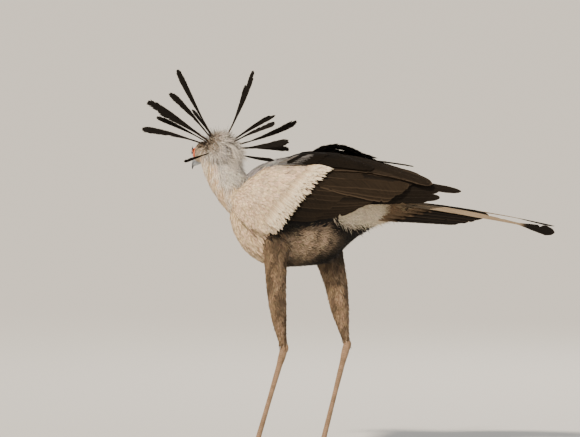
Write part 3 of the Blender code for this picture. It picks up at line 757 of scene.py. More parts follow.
def add_wing_feather(plumage, side, ends, width, kind, lifts, pitch, bow, tint, seed, own, rows=WING_ROWS):
    """A feather that lies on the folded wing, from its root to its tip, both (x, z)."""
    roll = dice(seed)
    root, tip = ends
    t = feather_stations(rows)
    x = root[0] + (tip[0] - root[0]) * t
    z = root[1] + (tip[1] - root[1]) * t + bow * 4 * t * (1 - t)
    way = unit(np.stack([np.gradient(x), np.gradient(z)], axis=-1))
    half = width * np.interp(t, *PROFILES[kind])
    upper = half * ragged(roll, rows, 1, 0.5) * 0.84
    lower = half * ragged(roll, rows, 1, 0.5) * 1.12
    reach = np.where(COLUMNS[None] > 0, upper[:, None], lower[:, None]) * COLUMNS[None]
    px = x[:, None] - way[:, 1:2] * reach
    pz = z[:, None] + way[:, 0:1] * reach
    lean = STEP / pitch * reach
    lift = (lifts[0] + (lifts[1] - lifts[0]) * t)[:, None] - lean + 0.9 * (1 - COLUMNS[None] ** 2)
    points = off_flank(px, pz, lift)
    normals = flank_normal(px, pz)
    across = unit(points[:, 0] - points[:, -1])
    if side == LEFT:
        for array in (points, normals, across):
            array[..., 1] *= -1
    chart = "wing_left" if side == LEFT else "wing_right"
    place = chart_place(chart, np.array((root[0] + 340) / 700), np.array((root[1] - 600) / 280))
    add_blade(plumage, points, normals, tint, place, own, turned=side == LEFT)
    middle = points[:, 3] + normals[:, 3] * 0.0003
    shaft_tint = np.clip(tint * 1.6 + 0.01, 0, 1)
    add_shaft(plumage, middle, normals[:, 3], across * side, 0.9, shaft_tint, place, own)


def free_line(root, tip, facing, t, bow=0.0, twist=0.0):
    """A feather's middle in the open air with its faces and sides, from root to tip in millimetres."""
    root, tip = np.array(root, float), np.array(tip, float)
    along = unit(tip - root)
    upward = unit(UP - along * along[2])
    middle = root + (tip - root) * t[:, None] + upward * (bow * 4 * t * (1 - t))[:, None]
    look = unit(facing - along * (facing @ along))
    turn = np.radians(twist) * t**2
    look = look * np.cos(turn)[:, None] + np.cross(along, look) * np.sin(turn)[:, None]
    ahead = unit(np.gradient(middle, axis=0))
    look = unit(look - ahead * np.sum(look * ahead, axis=1, keepdims=True))
    return middle * 0.001, look, np.cross(ahead, look), ahead


def add_free_feather(plumage, root, tip, width, kind, facing, bend, twist, tint, place, seed):
    """A large feather in the open air, bent to the bird's right and upwards by so much at its middle."""
    roll = dice(seed)
    t = feather_stations(TAIL_ROWS)
    middle, look, across, _ = free_line(root, tip, facing, t, bend[1], twist)
    middle[:, 1] += bend[0] * 0.004 * t * (1 - t)
    half = width * np.interp(t, *PROFILES[kind]) * 0.001
    left = half * ragged(roll, TAIL_ROWS, 3, 0.45)
    right = half * ragged(roll, TAIL_ROWS, 3, 0.45)
    reach = np.where(COLUMNS[None] > 0, left[:, None], right[:, None]) * COLUMNS[None]
    sunk = half[:, None] * 0.12 * COLUMNS[None] ** 2
    points = middle[:, None] - across[:, None] * reach[..., None] - look[:, None] * sunk[..., None]
    normals = np.repeat(look[:, None], len(COLUMNS), axis=1)
    own = roll.uniform(0, 0.45)
    add_blade(plumage, points, normals, tint, place, own, turned=True)
    shaft_tint = np.clip(tint * 1.5 + 0.01, 0, 1)
    add_shaft(plumage, middle + look * 0.0003, look, -across, 0.95, shaft_tint, place, own)


def add_barbed_feather(plumage, root, tip, width, facing, bow, bare, tint, place, seed, kind="quill"):
    """A feather whose vane is made barb by barb, so that its edges fray. It is bare up to that share."""
    roll = dice(seed)
    length = np.linalg.norm(np.subtract(tip, root))
    t = np.linspace(0, 1, BARBED_ROWS)
    middle, look, across, ahead = free_line(root, tip, facing, t, bow)
    radius = 0.9 + length * 0.0022
    shaft_tint = mix_rows(UMBER, tint, ramp(t, 0.02, 0.3))
    own = roll.uniform()
    add_shaft(plumage, middle, look, across, radius, shaft_tint, place, own)
    add_shaft(plumage, middle, -look, -across, radius, shaft_tint, place, own)
    count = int(length * (1.02 - bare) / BARB_PITCH)
    for hand in (-1, 1):
        at = bare + (0.995 - bare) * (np.arange(count) + roll.uniform(0, 1, count)) / count
        knots = np.linspace(0, 1, count // 9 + 2)
        clump = np.interp(at, knots, roll.normal(0, 0.07, len(knots)))
        frayed = 1 - 0.55 * ramp(np.interp(at, knots, roll.uniform(size=len(knots))), 0.82, 1.0)
        slant = np.radians(25) * np.clip((1.02 - at) * 9, 0.35, 1) + clump
        reach = width * np.interp(at, *PROFILES[kind]) * frayed * roll.uniform(0.96, 1.04, count)
        rooted, *ways = [
            np.stack([np.interp(at, t, rows[:, k]) for k in range(3)], axis=-1)
            for rows in (middle, ahead, across, look)
        ]
        ways = [unit(way) for way in ways]
        barb_way = ways[0] * np.cos(slant)[:, None] + ways[1] * (hand * np.sin(slant))[:, None]
        add_feathers(
            plumage,
            rooted,
            barb_way,
            ways[2],
            np.maximum(reach / np.sin(np.maximum(slant, 0.3)), 3),
            2.0,
            roll.normal(0, 0.02, count),
            0.0,
            np.repeat(tint[:1], count, axis=0) * roll.uniform(0.7, 1.35, (count, 1)),
            np.repeat(place[None], count, axis=0),
            "barb",
            f"{seed}{hand}",
            0.03,
            0.015,
        )


def mix_rows(first, second, share):
    """Colours between two, row by row."""
    share = np.clip(np.asarray(share, float), 0, 1)[:, None]
    return np.asarray(first) * (1 - share) + np.asarray(second) * share


def ramp(value, low, high):
    """0 below low, 1 above high and even between."""
    return np.clip((value - low) / (high - low), 0, 1)


def scatter(body, spacing, seed):
    """Candidates for roots, even over a body's surface, with their shares of its length and girth."""
    roll = dice(seed)
    t = roll.uniform(0, 1, CANDIDATES)
    angle = roll.uniform(-math.pi, math.pi, CANDIDATES)
    here = body.surface(t, angle)
    along = body.surface(np.minimum(t + 0.004, 1), angle) - body.surface(np.maximum(t - 0.004, 0), angle)
    around = body.surface(t, angle + 0.01) - body.surface(t, angle - 0.01)
    patch = np.linalg.norm(np.cross(along / 0.008, around / 0.02), axis=1)
    area = patch.mean() * 2 * math.pi
    wanted = area / (spacing * 0.001) ** 2 * SURPLUS
    keep = roll.uniform(size=CANDIDATES) < patch / patch.mean() * wanted / CANDIDATES
    return here[keep], t[keep], (angle[keep] / (2 * math.pi)) % 1


def tree_of(points):
    """Points set out so that the nearest are found fast."""
    tree = KDTree(len(points))
    for i, point in enumerate(points):
        tree.insert(point, i)
    tree.balance()
    return tree


def thin_out(points, spacing, seed):
    """Which candidates to keep so that none stand closer than their spacing."""
    tree = tree_of(points)
    free = np.ones(len(points), bool)
    kept = []
    for i in dice(seed).permutation(len(points)):
        if free[i]:
            kept.append(i)
            for _, j, _ in tree.find_range(points[i], spacing[i]):
                free[j] = False
    return np.array(kept)


def on_skin(skin, points, reach):
    """The nearest points of the skin, its normals there and which points lay near enough to it."""
    mesh = skin.data
    corners = np.zeros(len(mesh.loops), int)
    mesh.loops.foreach_get("vertex_index", corners)
    normals = np.zeros(len(mesh.vertices) * 3)
    mesh.vertex_normals.foreach_get("vector", normals)
    normals = normals.reshape(-1, 3)
    tree = BVHTree.FromPolygons(points_of(skin).tolist(), [tuple(p.vertices) for p in mesh.polygons])
    starts = np.zeros(len(mesh.polygons), int)
    mesh.polygons.foreach_get("loop_start", starts)
    found = [tree.find_nearest(point) for point in points]
    near = np.array([hit[3] < reach for hit in found])
    at = np.array([hit[0] for hit in found])
    faces = np.array([hit[2] for hit in found])
    looks = sum(normals[corners[starts[faces] + k]] for k in range(3))
    return at, unit(looks), near


def tract_at(name, points, normals):
    """The tract of each root."""
    x, _, z = (points * 1000).T
    tract = np.full(len(points), name, dtype="<U8")
    if name == "torso":
        tract[:] = "back"
        tract[(normals[:, 2] < 0.15) & (x < -232)] = "breast"
        tract[(x > -238) & ((z < 652) | (normals[:, 2] < -0.35))] = "belly"
        tract[(x > -52) & (z > 636) & (normals[:, 2] < 0.2)] = "vent"
        tract[(x > 20) & (normals[:, 2] < 0.2)] = "vent"
        tract[(x > 40) & (normals[:, 2] >= 0.2)] = "rump"
    if name == "neck":
        tract[(z > 770) & (x > -372)] = "nape"
    if name == "rump":
        tract[normals[:, 2] < 0.1] = "vent"
    return tract


def lie_of(name, tract, points, normals):
    """Which way the feathers point at each root, before it is laid on the skin."""
    x, _, z = (points * 1000).T
    count = len(points)
    zero = np.zeros(count)
    lie = np.tile((1.0, 0.0, -0.1), (count, 1))
    if name == "torso":
        front = ramp(x, -330, -150)
        lie = np.stack([0.45 + 0.55 * front, zero, -0.9 + 0.75 * front], axis=-1)
        lie = np.where((normals[:, 2] > 0.3)[:, None], (1.0, 0.0, -0.1), lie)
        lie = np.where((tract == "vent")[:, None], (1.0, 0.0, -0.35), lie)
    if name == "neck":
        lie = np.stack([0.1 + 0.35 * ramp(z, 800, 700), zero, zero - 1], axis=-1)
        lie = np.where((tract == "nape")[:, None], (0.62, -0.05, -0.78), lie)
    if name == "nape":
        away = unit(points * 1000 - HUB)
        lie = away * 0.35 + np.stack([0.5 + zero, zero - 0.1, -0.65 + 0.5 * ramp(z, 860, 900)], axis=-1)
    if name == "head":
        forward, _, up = in_head(points).T
        down = ramp(-up, -2, 18) * ramp(forward, 34, 0)
        lie = -FORWARD * (1 - 0.75 * down)[:, None] - UP * (1.1 * down)[:, None]
    if name == "thigh":
        lie = np.stack([0.12 + zero, zero, zero - 1], axis=-1)
    if name == "wing":
        slope = np.radians(62 - 46 * ramp(z, 640, 800) - 14 * ramp(x, -250, -60))
        lie = np.stack([np.cos(slope), zero, -np.sin(slope)], axis=-1)
    return lie


def noise(points, size, seed):
    """Soft blotches from -1 to 1 over a few waves of about that many millimetres."""
    roll = dice(seed)
    total = np.zeros(len(points))
    for _ in range(5):
        way = unit(roll.normal(size=3)) * (2 * math.pi / (size * roll.uniform(0.6, 1.5) * 0.001))
        total += np.sin(points @ way + roll.uniform(0, 6.3))
    return np.clip(total / 3, -1, 1)


def markings(tract, points):
    """The plumage's base colour at each place."""
    x, _, z = (points * 1000).T
    _, _, up = in_head(points).T
    blotch = noise(points, 38, "blotch")
    fine = noise(points, 11, "fine")
    colour = np.tile(np.array(CREAM), (len(points), 1))

    def lay(name, mask, tint, strength=1.0):
        """Lays a colour over a tract, where the mask says and by that strength."""
        share = (np.asarray((tract == name) * mask, float) * strength)[:, None]
        colour[:] = colour * (1 - share) + np.array(tint) * share

    lay("nape", 1, WHITE)
    # Painted shade on the nape: blue-grey among the white wisps, and a darker band just behind the crest's
    # base.
    lay("nape", fine > 0.3, NAPE_BLUE_SHADE, 0.6)
    lay("nape", fine < -0.6, BROWN, 0.4)
    shaded = np.exp(-(((x + 336) / 26) ** 2) - ((z - 880) / 22) ** 2)
    lay("nape", shaded * ramp(fine, -0.9, 0.3), NAPE_SHADE, 0.9)
    lay("nape", ramp(x, -374, -388) * ramp(z, 858, 874) * (fine > -0.4), UMBER, 0.8)
    lay("neck", blotch > 0.1, WHITE, 0.55)
    lay("neck", fine > 0.5, DUSK, 0.45)
    # Painted shade: a darker, warmer tan in the fold where the neck meets the shoulder.
    lay("neck", ramp(z, 745, 715) * ramp(x, -330, -300), NECK_FOLD_SHADE, 0.6)
    lay("head", 1, CHEEK)
    lay("head", fine > 0.25, DUSK, 0.5)
    # The top of the head darker: partly the crown's own dark brown, partly painted shade under the crest's
    # quills.
    lay("head", ramp(up, 2, 15) * ramp(fine, -0.9, 0.3), CROWN_DARK_AND_SHADE, 0.9)
    lay("breast", fine > 0.35, DUSK, 0.4)
    lay("breast", ramp(z, 640, 560) * (fine > -0.1), UMBER, 0.5)
    lay("back", 1, SLATE)
    lay("back", np.maximum(ramp(x, -215, -185), z < 720), BLACK)
    lay("belly", 1, BLACK)
    slope = math.radians(25)
    along = (x + 117) * math.cos(slope) + (z - 602) * math.sin(slope)
    across = (z - 602) * math.cos(slope) - (x + 117) * math.sin(slope)
    flank_patch = np.exp(-((along / 72) ** 4) - (across / 43) ** 4)
    lay("belly", flank_patch * ramp(fine, -1.0, 0.4), MOTTLE)
    lay("vent", 1, VENT_WHITE)
    lay("vent", fine > 0.4, DUSK, 0.35)
    white_edge = np.interp(x, (-46, -11, 31, 75), (670, 648, 650, 640))
    lay("vent", ramp(white_edge - z, -3, 3), BLACK)
    lay("vent", ramp(x, 80, 104), TAIL_BROWN)
    lay("vent", ramp(x, 120, 150), BLACK)
    lay("rump", 1, TAIL_BROWN)
    lay("rump", fine > 0.1, STRAW, 0.6)
    lay("thigh", 1, UMBER)
    lay("thigh", fine > 0.1, THIGH_TAN, 0.8)
    lay("thigh", ramp(z, 470, 600), BROWN, 0.55)
    lay("thigh", ramp(z, 512, 556) * (x > -120), BLACK, 0.92)
    lay("thigh", blotch > 0.35, BROWN, 0.6)
    lay("wing", 1, COVERT)
    lay("wing", ramp(blotch, 0.1, 0.5), COVERT_BROWN, 0.55)
    shoulder_patch = np.exp(-(((x + 150) / 26) ** 2) - ((z - 768) / 22) ** 2)
    lay("wing", shoulder_patch * ramp(fine, -0.8, 0.6), COVERT_GREY, 0.7)
    lay("wing", fine > 0.6, DUSK, 0.3)
    lay("wing", ramp(z, 800, 828) * ramp(x, -290, -255), SLATE, 0.8)
    edge = (np.stack([x, z], axis=-1) - COVERT_LINE[0]) @ COVERT_FACING
    lay("wing", ramp(edge, -60, -5), COVERT_TIP, 0.6)
    scapular_edge = np.interp(x, (-150, -142, -43), (860, 826, 812))
    lay("wing", ramp(z - scapular_edge, -3, 3), BLACK)
    return colour


def bare_face(points):
    """1 on the bare skin round the eyes and at the bill's root, 0 on feathers."""
    forward, left, up = in_head(points).T
    eye = 1 - np.sqrt(((forward - EYE[0]) / 17) ** 2 + ((up - EYE[2]) / 12) ** 2)
    lore = 1 - np.sqrt(((forward - 30) / 12) ** 2 + ((up + 2) / 11) ** 2)
    side = ramp(np.abs(left), 4, 9)
    return ramp(np.maximum(eye * side, lore), 0.0, 0.12)


def node(tree, kind, inputs=None, **settings):
    """A shader node with its settings and what goes into it."""
    made = tree.nodes.new(kind)
    for name, value in settings.items():
        setattr(made, name, value)
    for name, value in (inputs or {}).items():
        if isinstance(value, bpy.types.NodeSocket):
            tree.links.new(value, made.inputs[name])
        else:
            made.inputs[name].default_value = value
    return made


def attribute(tree, name, output):
    """What a mesh gives its material under that name."""
    return node(tree, "ShaderNodeAttribute", attribute_name=name).outputs[output]


def maths(tree, operation, *values, clamp=False):
    """The result of a Math node."""
    made = node(tree, "ShaderNodeMath", dict(enumerate(values)), operation=operation, use_clamp=clamp)
    return made.outputs[0]


def mixed(tree, share, first, second, blend="MIX"):
    """A colour mixed from two."""
    made = tree.nodes.new("ShaderNodeMix")
    made.data_type = "RGBA"
    made.blend_type = blend
    for socket, value in ((made.inputs[0], share), (made.inputs[6], first), (made.inputs[7], second)):
        if isinstance(value, bpy.types.NodeSocket):
            tree.links.new(value, socket)
        else:
            socket.default_value = value if isinstance(value, (int, float)) else (*value, 1)
    return made.outputs[2]


def spread(tree, value, low, high, to_low=0.0, to_high=1.0):
    """A value moved from one range to another, and kept in it."""
    made = node(tree, "ShaderNodeMapRange", {0: value, 1: low, 2: high, 3: to_low, 4: to_high})
    return made.outputs[0]


def new_group(name, inputs, outputs):
    """A shader node group, and the nodes that bring values in and take them out."""
    tree = bpy.data.node_groups.new(name, "ShaderNodeTree")
    for label, kind, value in inputs:
        socket = tree.interface.new_socket(name=label, in_out="INPUT", socket_type=kind)
        socket.default_value = value
    for label, kind in outputs:
        tree.interface.new_socket(name=label, in_out="OUTPUT", socket_type=kind)
    return tree, tree.nodes.new("NodeGroupInput"), tree.nodes.new("NodeGroupOutput")


def make_barb_group():
    """Barbs, shaft, fringe and a painted shade at the root of a feather, from its vane attribute and its
    tint.
    """
    tree, given, out = new_group(
        "feather_vane",
        [
            ("Barbs", "NodeSocketFloat", 60.0),
            ("Fringe", "NodeSocketColor", (0.5, 0.42, 0.32, 1)),
            ("Fringe Strength", "NodeSocketFloat", 0.4),
            ("Root Shade", "NodeSocketFloat", 0.5),
            ("Shaft", "NodeSocketFloat", 0.3),
        ],
        [("Colour", "NodeSocketColor"), ("Height", "NodeSocketFloat"), ("Roughness", "NodeSocketFloat")],
    )

    def times(first, second, **options):
        return maths(tree, "MULTIPLY", first, second, **options)

    tint = attribute(tree, "tint", "Color")
    parts = node(tree, "ShaderNodeSeparateXYZ", {0: attribute(tree, "vane", "Vector")})
    along, across, own = parts.outputs
    off = maths(tree, "ABSOLUTE", across)
    slant = maths(tree, "SUBTRACT", along, times(off, 0.12))
    axes = {0: times(slant, given.outputs["Barbs"]), 1: times(own, 40.0), 2: off}
    seat = node(tree, "ShaderNodeCombineXYZ", axes).outputs[0]
    grain = node(tree, "ShaderNodeTexNoise", {"Vector": seat, "Scale": 1.0, "Detail": 2.0})
    barbs = spread(tree, grain.outputs["Fac"], 0.3, 0.7)
    lighter = mixed(tree, times(barbs, 0.45), tint, (1, 1, 1), "SOFT_LIGHT")
    shade = mixed(tree, times(maths(tree, "SUBTRACT", 1.0, barbs), 0.3), lighter, (0, 0, 0))
    # Painted shade towards the root, where the feathers lying over it would shade it.
    root_shade_share = spread(tree, along, 0.45, 0.05)
    rooted = mixed(tree, times(root_shade_share, given.outputs["Root Shade"]), shade, (0, 0, 0))
    rim = maths(tree, "MAXIMUM", spread(tree, off, 0.82, 0.98), spread(tree, along, 0.93, 1.0))
    rim = times(rim, spread(tree, own, 0.3, 1.0, 0.1, 1.0))
    rim = times(rim, given.outputs["Fringe Strength"], clamp=True)
    fringed = mixed(tree, rim, rooted, given.outputs["Fringe"])
    quill = times(spread(tree, off, 0.1, 0.02), spread(tree, along, 0.9, 0.5))
    quill = times(quill, given.outputs["Shaft"])
    final = mixed(tree, quill, fringed, (0.5, 0.4, 0.28), "OVERLAY")
    tree.links.new(final, out.inputs["Colour"])
    tree.links.new(barbs, out.inputs["Height"])
    tree.links.new(spread(tree, barbs, 0.0, 1.0, 0.62, 0.82), out.inputs["Roughness"])
    return tree


def make_relief_group():
    """Fine pores and creases over an object's own coordinates."""
    tree, given, out = new_group(
        "pores_and_creases",
        [("Scale", "NodeSocketFloat", 300.0), ("Creases", "NodeSocketFloat", 0.5)],
        [("Height", "NodeSocketFloat"), ("Mask", "NodeSocketFloat")],
    )
    where = node(tree, "ShaderNodeTexCoord").outputs["Object"]
    seat = {"Vector": where, "Scale": given.outputs["Scale"]}
    pores = node(tree, "ShaderNodeTexNoise", {**seat, "Detail": 5.0})
    cells = node(tree, "ShaderNodeTexVoronoi", seat, feature="DISTANCE_TO_EDGE")
    creases = spread(tree, cells.outputs["Distance"], 0.0, 0.12)
    creases = maths(tree, "MULTIPLY", creases, given.outputs["Creases"])
    height = maths(tree, "ADD", pores.outputs["Fac"], creases)
    tree.links.new(height, out.inputs["Height"])
    patches = node(tree, "ShaderNodeTexNoise", {"Vector": where, "Scale": 45.0, "Detail": 4.0})
    tree.links.new(spread(tree, patches.outputs["Fac"], 0.38, 0.62), out.inputs["Mask"])
    return tree


def new_material(name, roughness, **values):
    """A material with its Principled shader."""
    made = bpy.data.materials.new(name)
    made.use_nodes = True
    shader = made.node_tree.nodes["Principled BSDF"]
    shader.inputs["Roughness"].default_value = roughness
    for label, value in values.items():
        shader.inputs[label.replace("_", " ")].default_value = value
    return made, made.node_tree, shader


def bump(tree, shader, height, strength, distance):
    """Relief on a shader from a height, so many millimetres deep."""
    inputs = {"Height": height, "Strength": strength, "Distance": distance * 0.001}
    made = node(tree, "ShaderNodeBump", inputs)
    tree.links.new(made.outputs[0], shader.inputs["Normal"])


def feather_material(name, group, barbs, fringe, fringe_strength, root_shade, shaft, depth, shine=0.18):
    """A finish for one kind of feather."""
    made, tree, shader = new_material(name, 0.7, Specular_IOR_Level=shine)
    inputs = {
        "Barbs": barbs,
        "Fringe": (*fringe, 1),
        "Fringe Strength": fringe_strength,
        "Root Shade": root_shade,
        "Shaft": shaft,
    }
    vane = node(tree, "ShaderNodeGroup", inputs, node_tree=group)
    tree.links.new(vane.outputs["Colour"], shader.inputs["Base Color"])
    tree.links.new(vane.outputs["Roughness"], shader.inputs["Roughness"])
    bump(tree, shader, vane.outputs["Height"], 0.6, depth)
    return made


def skin_material(relief):
    """Skin that shows between feathers, and the bare orange face."""
    made, tree, shader = new_material("skin", 0.55, Specular_IOR_Level=0.4)
    creases = maths(tree, "MULTIPLY", attribute(tree, "bare", "Fac"), 0.8)
    pores = node(tree, "ShaderNodeGroup", {"Scale": 650.0, "Creases": creases}, node_tree=relief)
    share = maths(tree, "MULTIPLY", pores.outputs["Mask"], 0.35)
    worn = mixed(tree, share, attribute(tree, "tint", "Color"), (0.9, 0.75, 0.5), "MULTIPLY")
    tree.links.new(worn, shader.inputs["Base Color"])
    bump(tree, shader, pores.outputs["Height"], 0.7, 0.5)
    return made


def horn_material(name, deep, pale, relief, scale, roughness):
    """Horn with growth streaks, paler where it is worn. Its 'grow' attribute runs from root to tip."""
    made, tree, shader = new_material(name, roughness, Coat_Weight=0.15, Coat_Roughness=0.3)
    where = node(tree, "ShaderNodeTexCoord").outputs["Object"]
    grain = {"Vector": where, "Scale": scale, "Detail": 6.0, "Roughness": 0.65}
    streaks = node(tree, "ShaderNodeTexNoise", grain).outputs["Fac"]
    pores = node(tree, "ShaderNodeGroup", {"Scale": scale * 4}, node_tree=relief)
    darker = maths(tree, "MULTIPLY", attribute(tree, "grow", "Fac"), -0.8)
    share = maths(tree, "ADD", maths(tree, "MULTIPLY", streaks, 0.8), darker)
    base = mixed(tree, spread(tree, share, -0.4, 0.5), deep, pale)
    tree.links.new(base, shader.inputs["Base Color"])
    rough = spread(tree, streaks, 0.3, 0.7, roughness * 0.8, roughness * 1.5)
    tree.links.new(rough, shader.inputs["Roughness"])
    bump(tree, shader, pores.outputs["Height"], 0.35, 0.25)
    return made


def scaled_material(relief):
    """Scaly leg skin: a pinkish tan, with painted shade in the creases and in the grooves that 'grow'
    gives.
    """
    made, tree, shader = new_material("scaled_skin", 0.5, Specular_IOR_Level=0.45)
    pores = node(tree, "ShaderNodeGroup", {"Scale": 420.0}, node_tree=relief)
    mask, height = pores.outputs["Mask"], pores.outputs["Height"]
    base = mixed(tree, mask, (0.335, 0.205, 0.115), (0.22, 0.135, 0.07))
    # Painted shade in the creases, darker where the relief is low, and in the grooves between plates below.
    crease_shaded = mixed(tree, spread(tree, height, 0.85, 0.5, 0.0, 0.6), base, (0.085, 0.048, 0.028))
    groove = maths(tree, "MULTIPLY", attribute(tree, "grow", "Fac"), 0.9)
    groove_shaded = mixed(tree, groove, crease_shaded, (0.07, 0.04, 0.024))
    tree.links.new(groove_shaded, shader.inputs["Base Color"])
    tree.links.new(spread(tree, mask, 0.0, 1.0, 0.42, 0.7), shader.inputs["Roughness"])
    bump(tree, shader, height, 0.5, 0.3)
    return made


def eye_material():
    """A dark brown iris round a black pupil; 'grow' is the angle from the pupil's middle."""
    made, tree, shader = new_material("eye", 0.06, Coat_Weight=1.0, Coat_Roughness=0.02)
    angle = attribute(tree, "grow", "Fac")
    where = node(tree, "ShaderNodeTexCoord").outputs["Object"]
    rays = node(tree, "ShaderNodeTexNoise", {"Vector": where, "Scale": 900.0, "Detail": 3.0})
    iris = mixed(tree, rays.outputs["Fac"], (0.05, 0.022, 0.01), (0.16, 0.085, 0.035))
    inner = mixed(tree, spread(tree, angle, 0.36, 0.4), (0.002, 0.002, 0.002), iris)
    outer = mixed(tree, spread(tree, angle, 0.78, 0.86), inner, (0.012, 0.008, 0.006))
    tree.links.new(outer, shader.inputs["Base Color"])
    return made


def lid_material(relief):
    """Wrinkled orange skin."""
    made, tree, shader = new_material("lid", 0.5, Specular_IOR_Level=0.4)
    pores = node(tree, "ShaderNodeGroup", {"Scale": 700.0}, node_tree=relief)
    base = mixed(tree, pores.outputs["Mask"], (0.78, 0.17, 0.06), (0.62, 0.10, 0.045))
    tree.links.new(base, shader.inputs["Base Color"])
    bump(tree, shader, pores.outputs["Height"], 0.6, 0.4)
    return made


def give(obj, name, values):
    """A number at each point of a mesh, for its material."""
    attribute = obj.data.attributes.new(name, "FLOAT", "POINT")
    attribute.data.foreach_set("value", np.asarray(values, float))


def points_of(obj):
    places = np.zeros(len(obj.data.vertices) * 3)
    obj.data.vertices.foreach_get("co", places)
    return places.reshape(-1, 3)


def wears(obj, finish, *nodes):
    """The piece rides on the bird and stands for its solids."""
    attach(obj, "root")
    if nodes:
        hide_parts(*nodes)
    return obj


def make_skin(bodies, material):
    """One skin round the whole bird, finer and folded on the head."""
    bm = bmesh.new()
    for name, _, body in bodies:
        add_body(bm, body, 48 if name == "wing" else 40, 40, SKIN_DEPTH[name])
    skin = fuse(bm, "skin", material, SKIN_VOXEL, 3)

    def on_face(vert):
        return (vert.co * 1000 - Vector(HEAD_CENTRE)).length < HEAD_REACH

    bm = bmesh.new()
    bm.from_mesh(skin.data)
    near = [e for e in bm.edges if all(on_face(v) for v in e.verts)]
    bmesh.ops.subdivide_edges(bm, edges=near, cuts=1, use_grid_fill=True)
    bmesh.ops.triangulate(bm, faces=[f for f in bm.faces if len(f.verts) > 4])
    bm.normal_update()
    verts = [v for v in bm.verts if on_face(v)]
    even_out(bm, verts)
    places = np.array([v.co for v in verts])
    folds = bare_face(places) * (0.5 * np.sin(in_head(places)[:, 0] * 1.9 + noise(places, 9, "fold") * 2.4))
    for v, fold in zip(verts, folds):
        v.co += v.normal * (fold * 0.001)
    bm.to_mesh(skin.data)
    bm.free()
    skin.data.shade_smooth()
    return skin


def plant(bodies, skin):
    """Roots for the whole coat: where, which way, the lie, the place on the unwrap, tract and colour."""
    candidates = []
    for name, chart, body in bodies:
        spacing = TRACTS[FINEST.get(name, name)][0]
        points, t, round_share = scatter(body, spacing, "scatter" + chart)
        at, looks, near = on_skin(skin, points, 0.012)
        place = chart_place(chart, t, round_share)
        tract = tract_at(name, at, looks)
        lie = lie_of(name, tract, at, looks)
        keep = near & (np.sum((points - at) * looks, axis=1) > 0.0004)
        if name == "wing":
            inner_side = looks[:, 1] * (LEFT if chart == "wing_left" else RIGHT) < -0.2
            rear_cap = looks[:, 0] > 0.55
            keep &= ~(inner_side | rear_cap)
        candidates.append([a[keep] for a in (at, looks, lie, place, tract)])
    columns = [np.concatenate(column) for column in zip(*candidates)]
    at, tract = columns[0], columns[4]
    kept = thin_out(at, np.array([TRACTS[name][0] * 0.001 for name in tract]), "thin")
    kept = kept[bare_face(at[kept]) < 0.5]
    at, looks, lie, place, tract = (column[kept] for column in columns)
    roll = dice("tint")
    colour = markings(tract, at)
    colour *= roll.uniform(0.78, 1.18, (len(at), 1)) * (1 + roll.normal(0, 0.03, (len(at), 3)))
    return at, looks, lie, place, tract, np.clip(colour, 0.004, 0.95)


def tint_skin(skin, at, colour):
    """The skin takes the colour of the feathers that grow there, darkened as painted shade under the coat,
    and its own on the bare face.
    """
    tree = tree_of(at)
    places = points_of(skin)
    nearest = np.array([tree.find(point)[1] for point in places])
    # Painted shade: the skin seen between the feathers is darkened as if shaded by them.
    under = colour[nearest] * 0.55
    bare = bare_face(places)
    give(skin, "bare", bare)
    forward, _, _ = in_head(places).T
    rich = mix_rows(FACE_ORANGE, FACE_YELLOW, ramp(forward, 18, 34))
    tint = mix_rows(under, rich, bare)
    layer = skin.data.attributes.new("tint", "FLOAT_COLOR", "POINT")
    layer.data.foreach_set("color", np.hstack([tint, np.ones((len(tint), 1))]).ravel())


def make_coat(roots, material):
    """The small feathers, a piece to each group of tracts."""
    at, looks, lie, place, tract, colour = roots
    groups = {
        "coat_breast": ("breast",),
        "coat_back": ("back", "rump"),
        "coat_belly": ("belly", "vent"),
        "coat_neck": ("neck",),
        "coat_nape": ("nape",),
        "coat_head": ("head",),
        "coat_thighs": ("thigh",),
        "coat_wings": ("wing",),
    }
    made = []
    for group, tracts in groups.items():
        plumage = Plumage()
        for name in tracts:
            _, strands, fan, length, width, rise, curl, shape = TRACTS[name]
            mask = tract == name
            count = int(mask.sum())
            if not count:
                continue
            roll = dice(name + "fan")
            here = at[mask] - looks[mask] * 0.0006
            up = looks[mask]
            ahead = unit(lie[mask] + roll.normal(0, 0.12, (count, 3)))
            for strand in range(strands):
                turn = np.radians(fan) * ((strand - (strands - 1) / 2) + roll.normal(0, 0.3, count))
                side = np.cross(up, ahead)
                way = ahead * np.cos(turn)[:, None] + side * np.sin(turn)[:, None]
                stretch = roll.uniform(0.75, 1.1, count) * size_at(name, at[mask])
                seed = f"{name}{strand}"
                tint = colour[mask] * roll.uniform(0.85, 1.12, (count, 1))
                sizes = (length * stretch, width * np.sqrt(stretch))
                add_feathers(plumage, here, way, up, *sizes, rise, curl, tint, place[mask], shape, seed)
        made.append(plumage.piece(group, material, 60))
    return made


def size_at(name, points):
    """Feathers are smaller towards the head, down the thigh and at the front of the wing."""
    x, _, z = (points * 1000).T
    if name == "neck":
        return 0.62 + 0.38 * ramp(z, 850, 760)
    if name == "wing":
        return 0.62 + 0.55 * ramp(x, -330, -130)
    if name == "thigh":
        return 0.7 + 0.4 * ramp(z, 320, 470) + 0.7 * ramp(z, 345, 316)
    if name == "head":
        forward, _, _ = in_head(points).T
        return 0.55 + 0.75 * ramp(forward, 30, -30)
    if name == "breast":
        return 0.7 + 0.4 * ramp(x, -335, -250)
    return np.ones(len(points))


def tier_ends(tier, k):
    """The root and the tip of one feather of a tier."""
    count, first_root, last_root, first_tip, last_tip, *_ = tier
    t = k / (count - 1)
    root = [a + (b - a) * t for a, b in zip(first_root, last_root)]
    tip = [a + (b - a) * t for a, b in zip(first_tip, last_tip)]
    tip[0] += 4 * math.sin(2.1 * k)
    return root, tip


def flight_tint(t, share):
    """Black, browner towards the tip, and browner all along by that share."""
    return mix_rows(BLACK, BROWN, 0.06 + share + 0.15 * ramp(t, 0.5, 1.0))


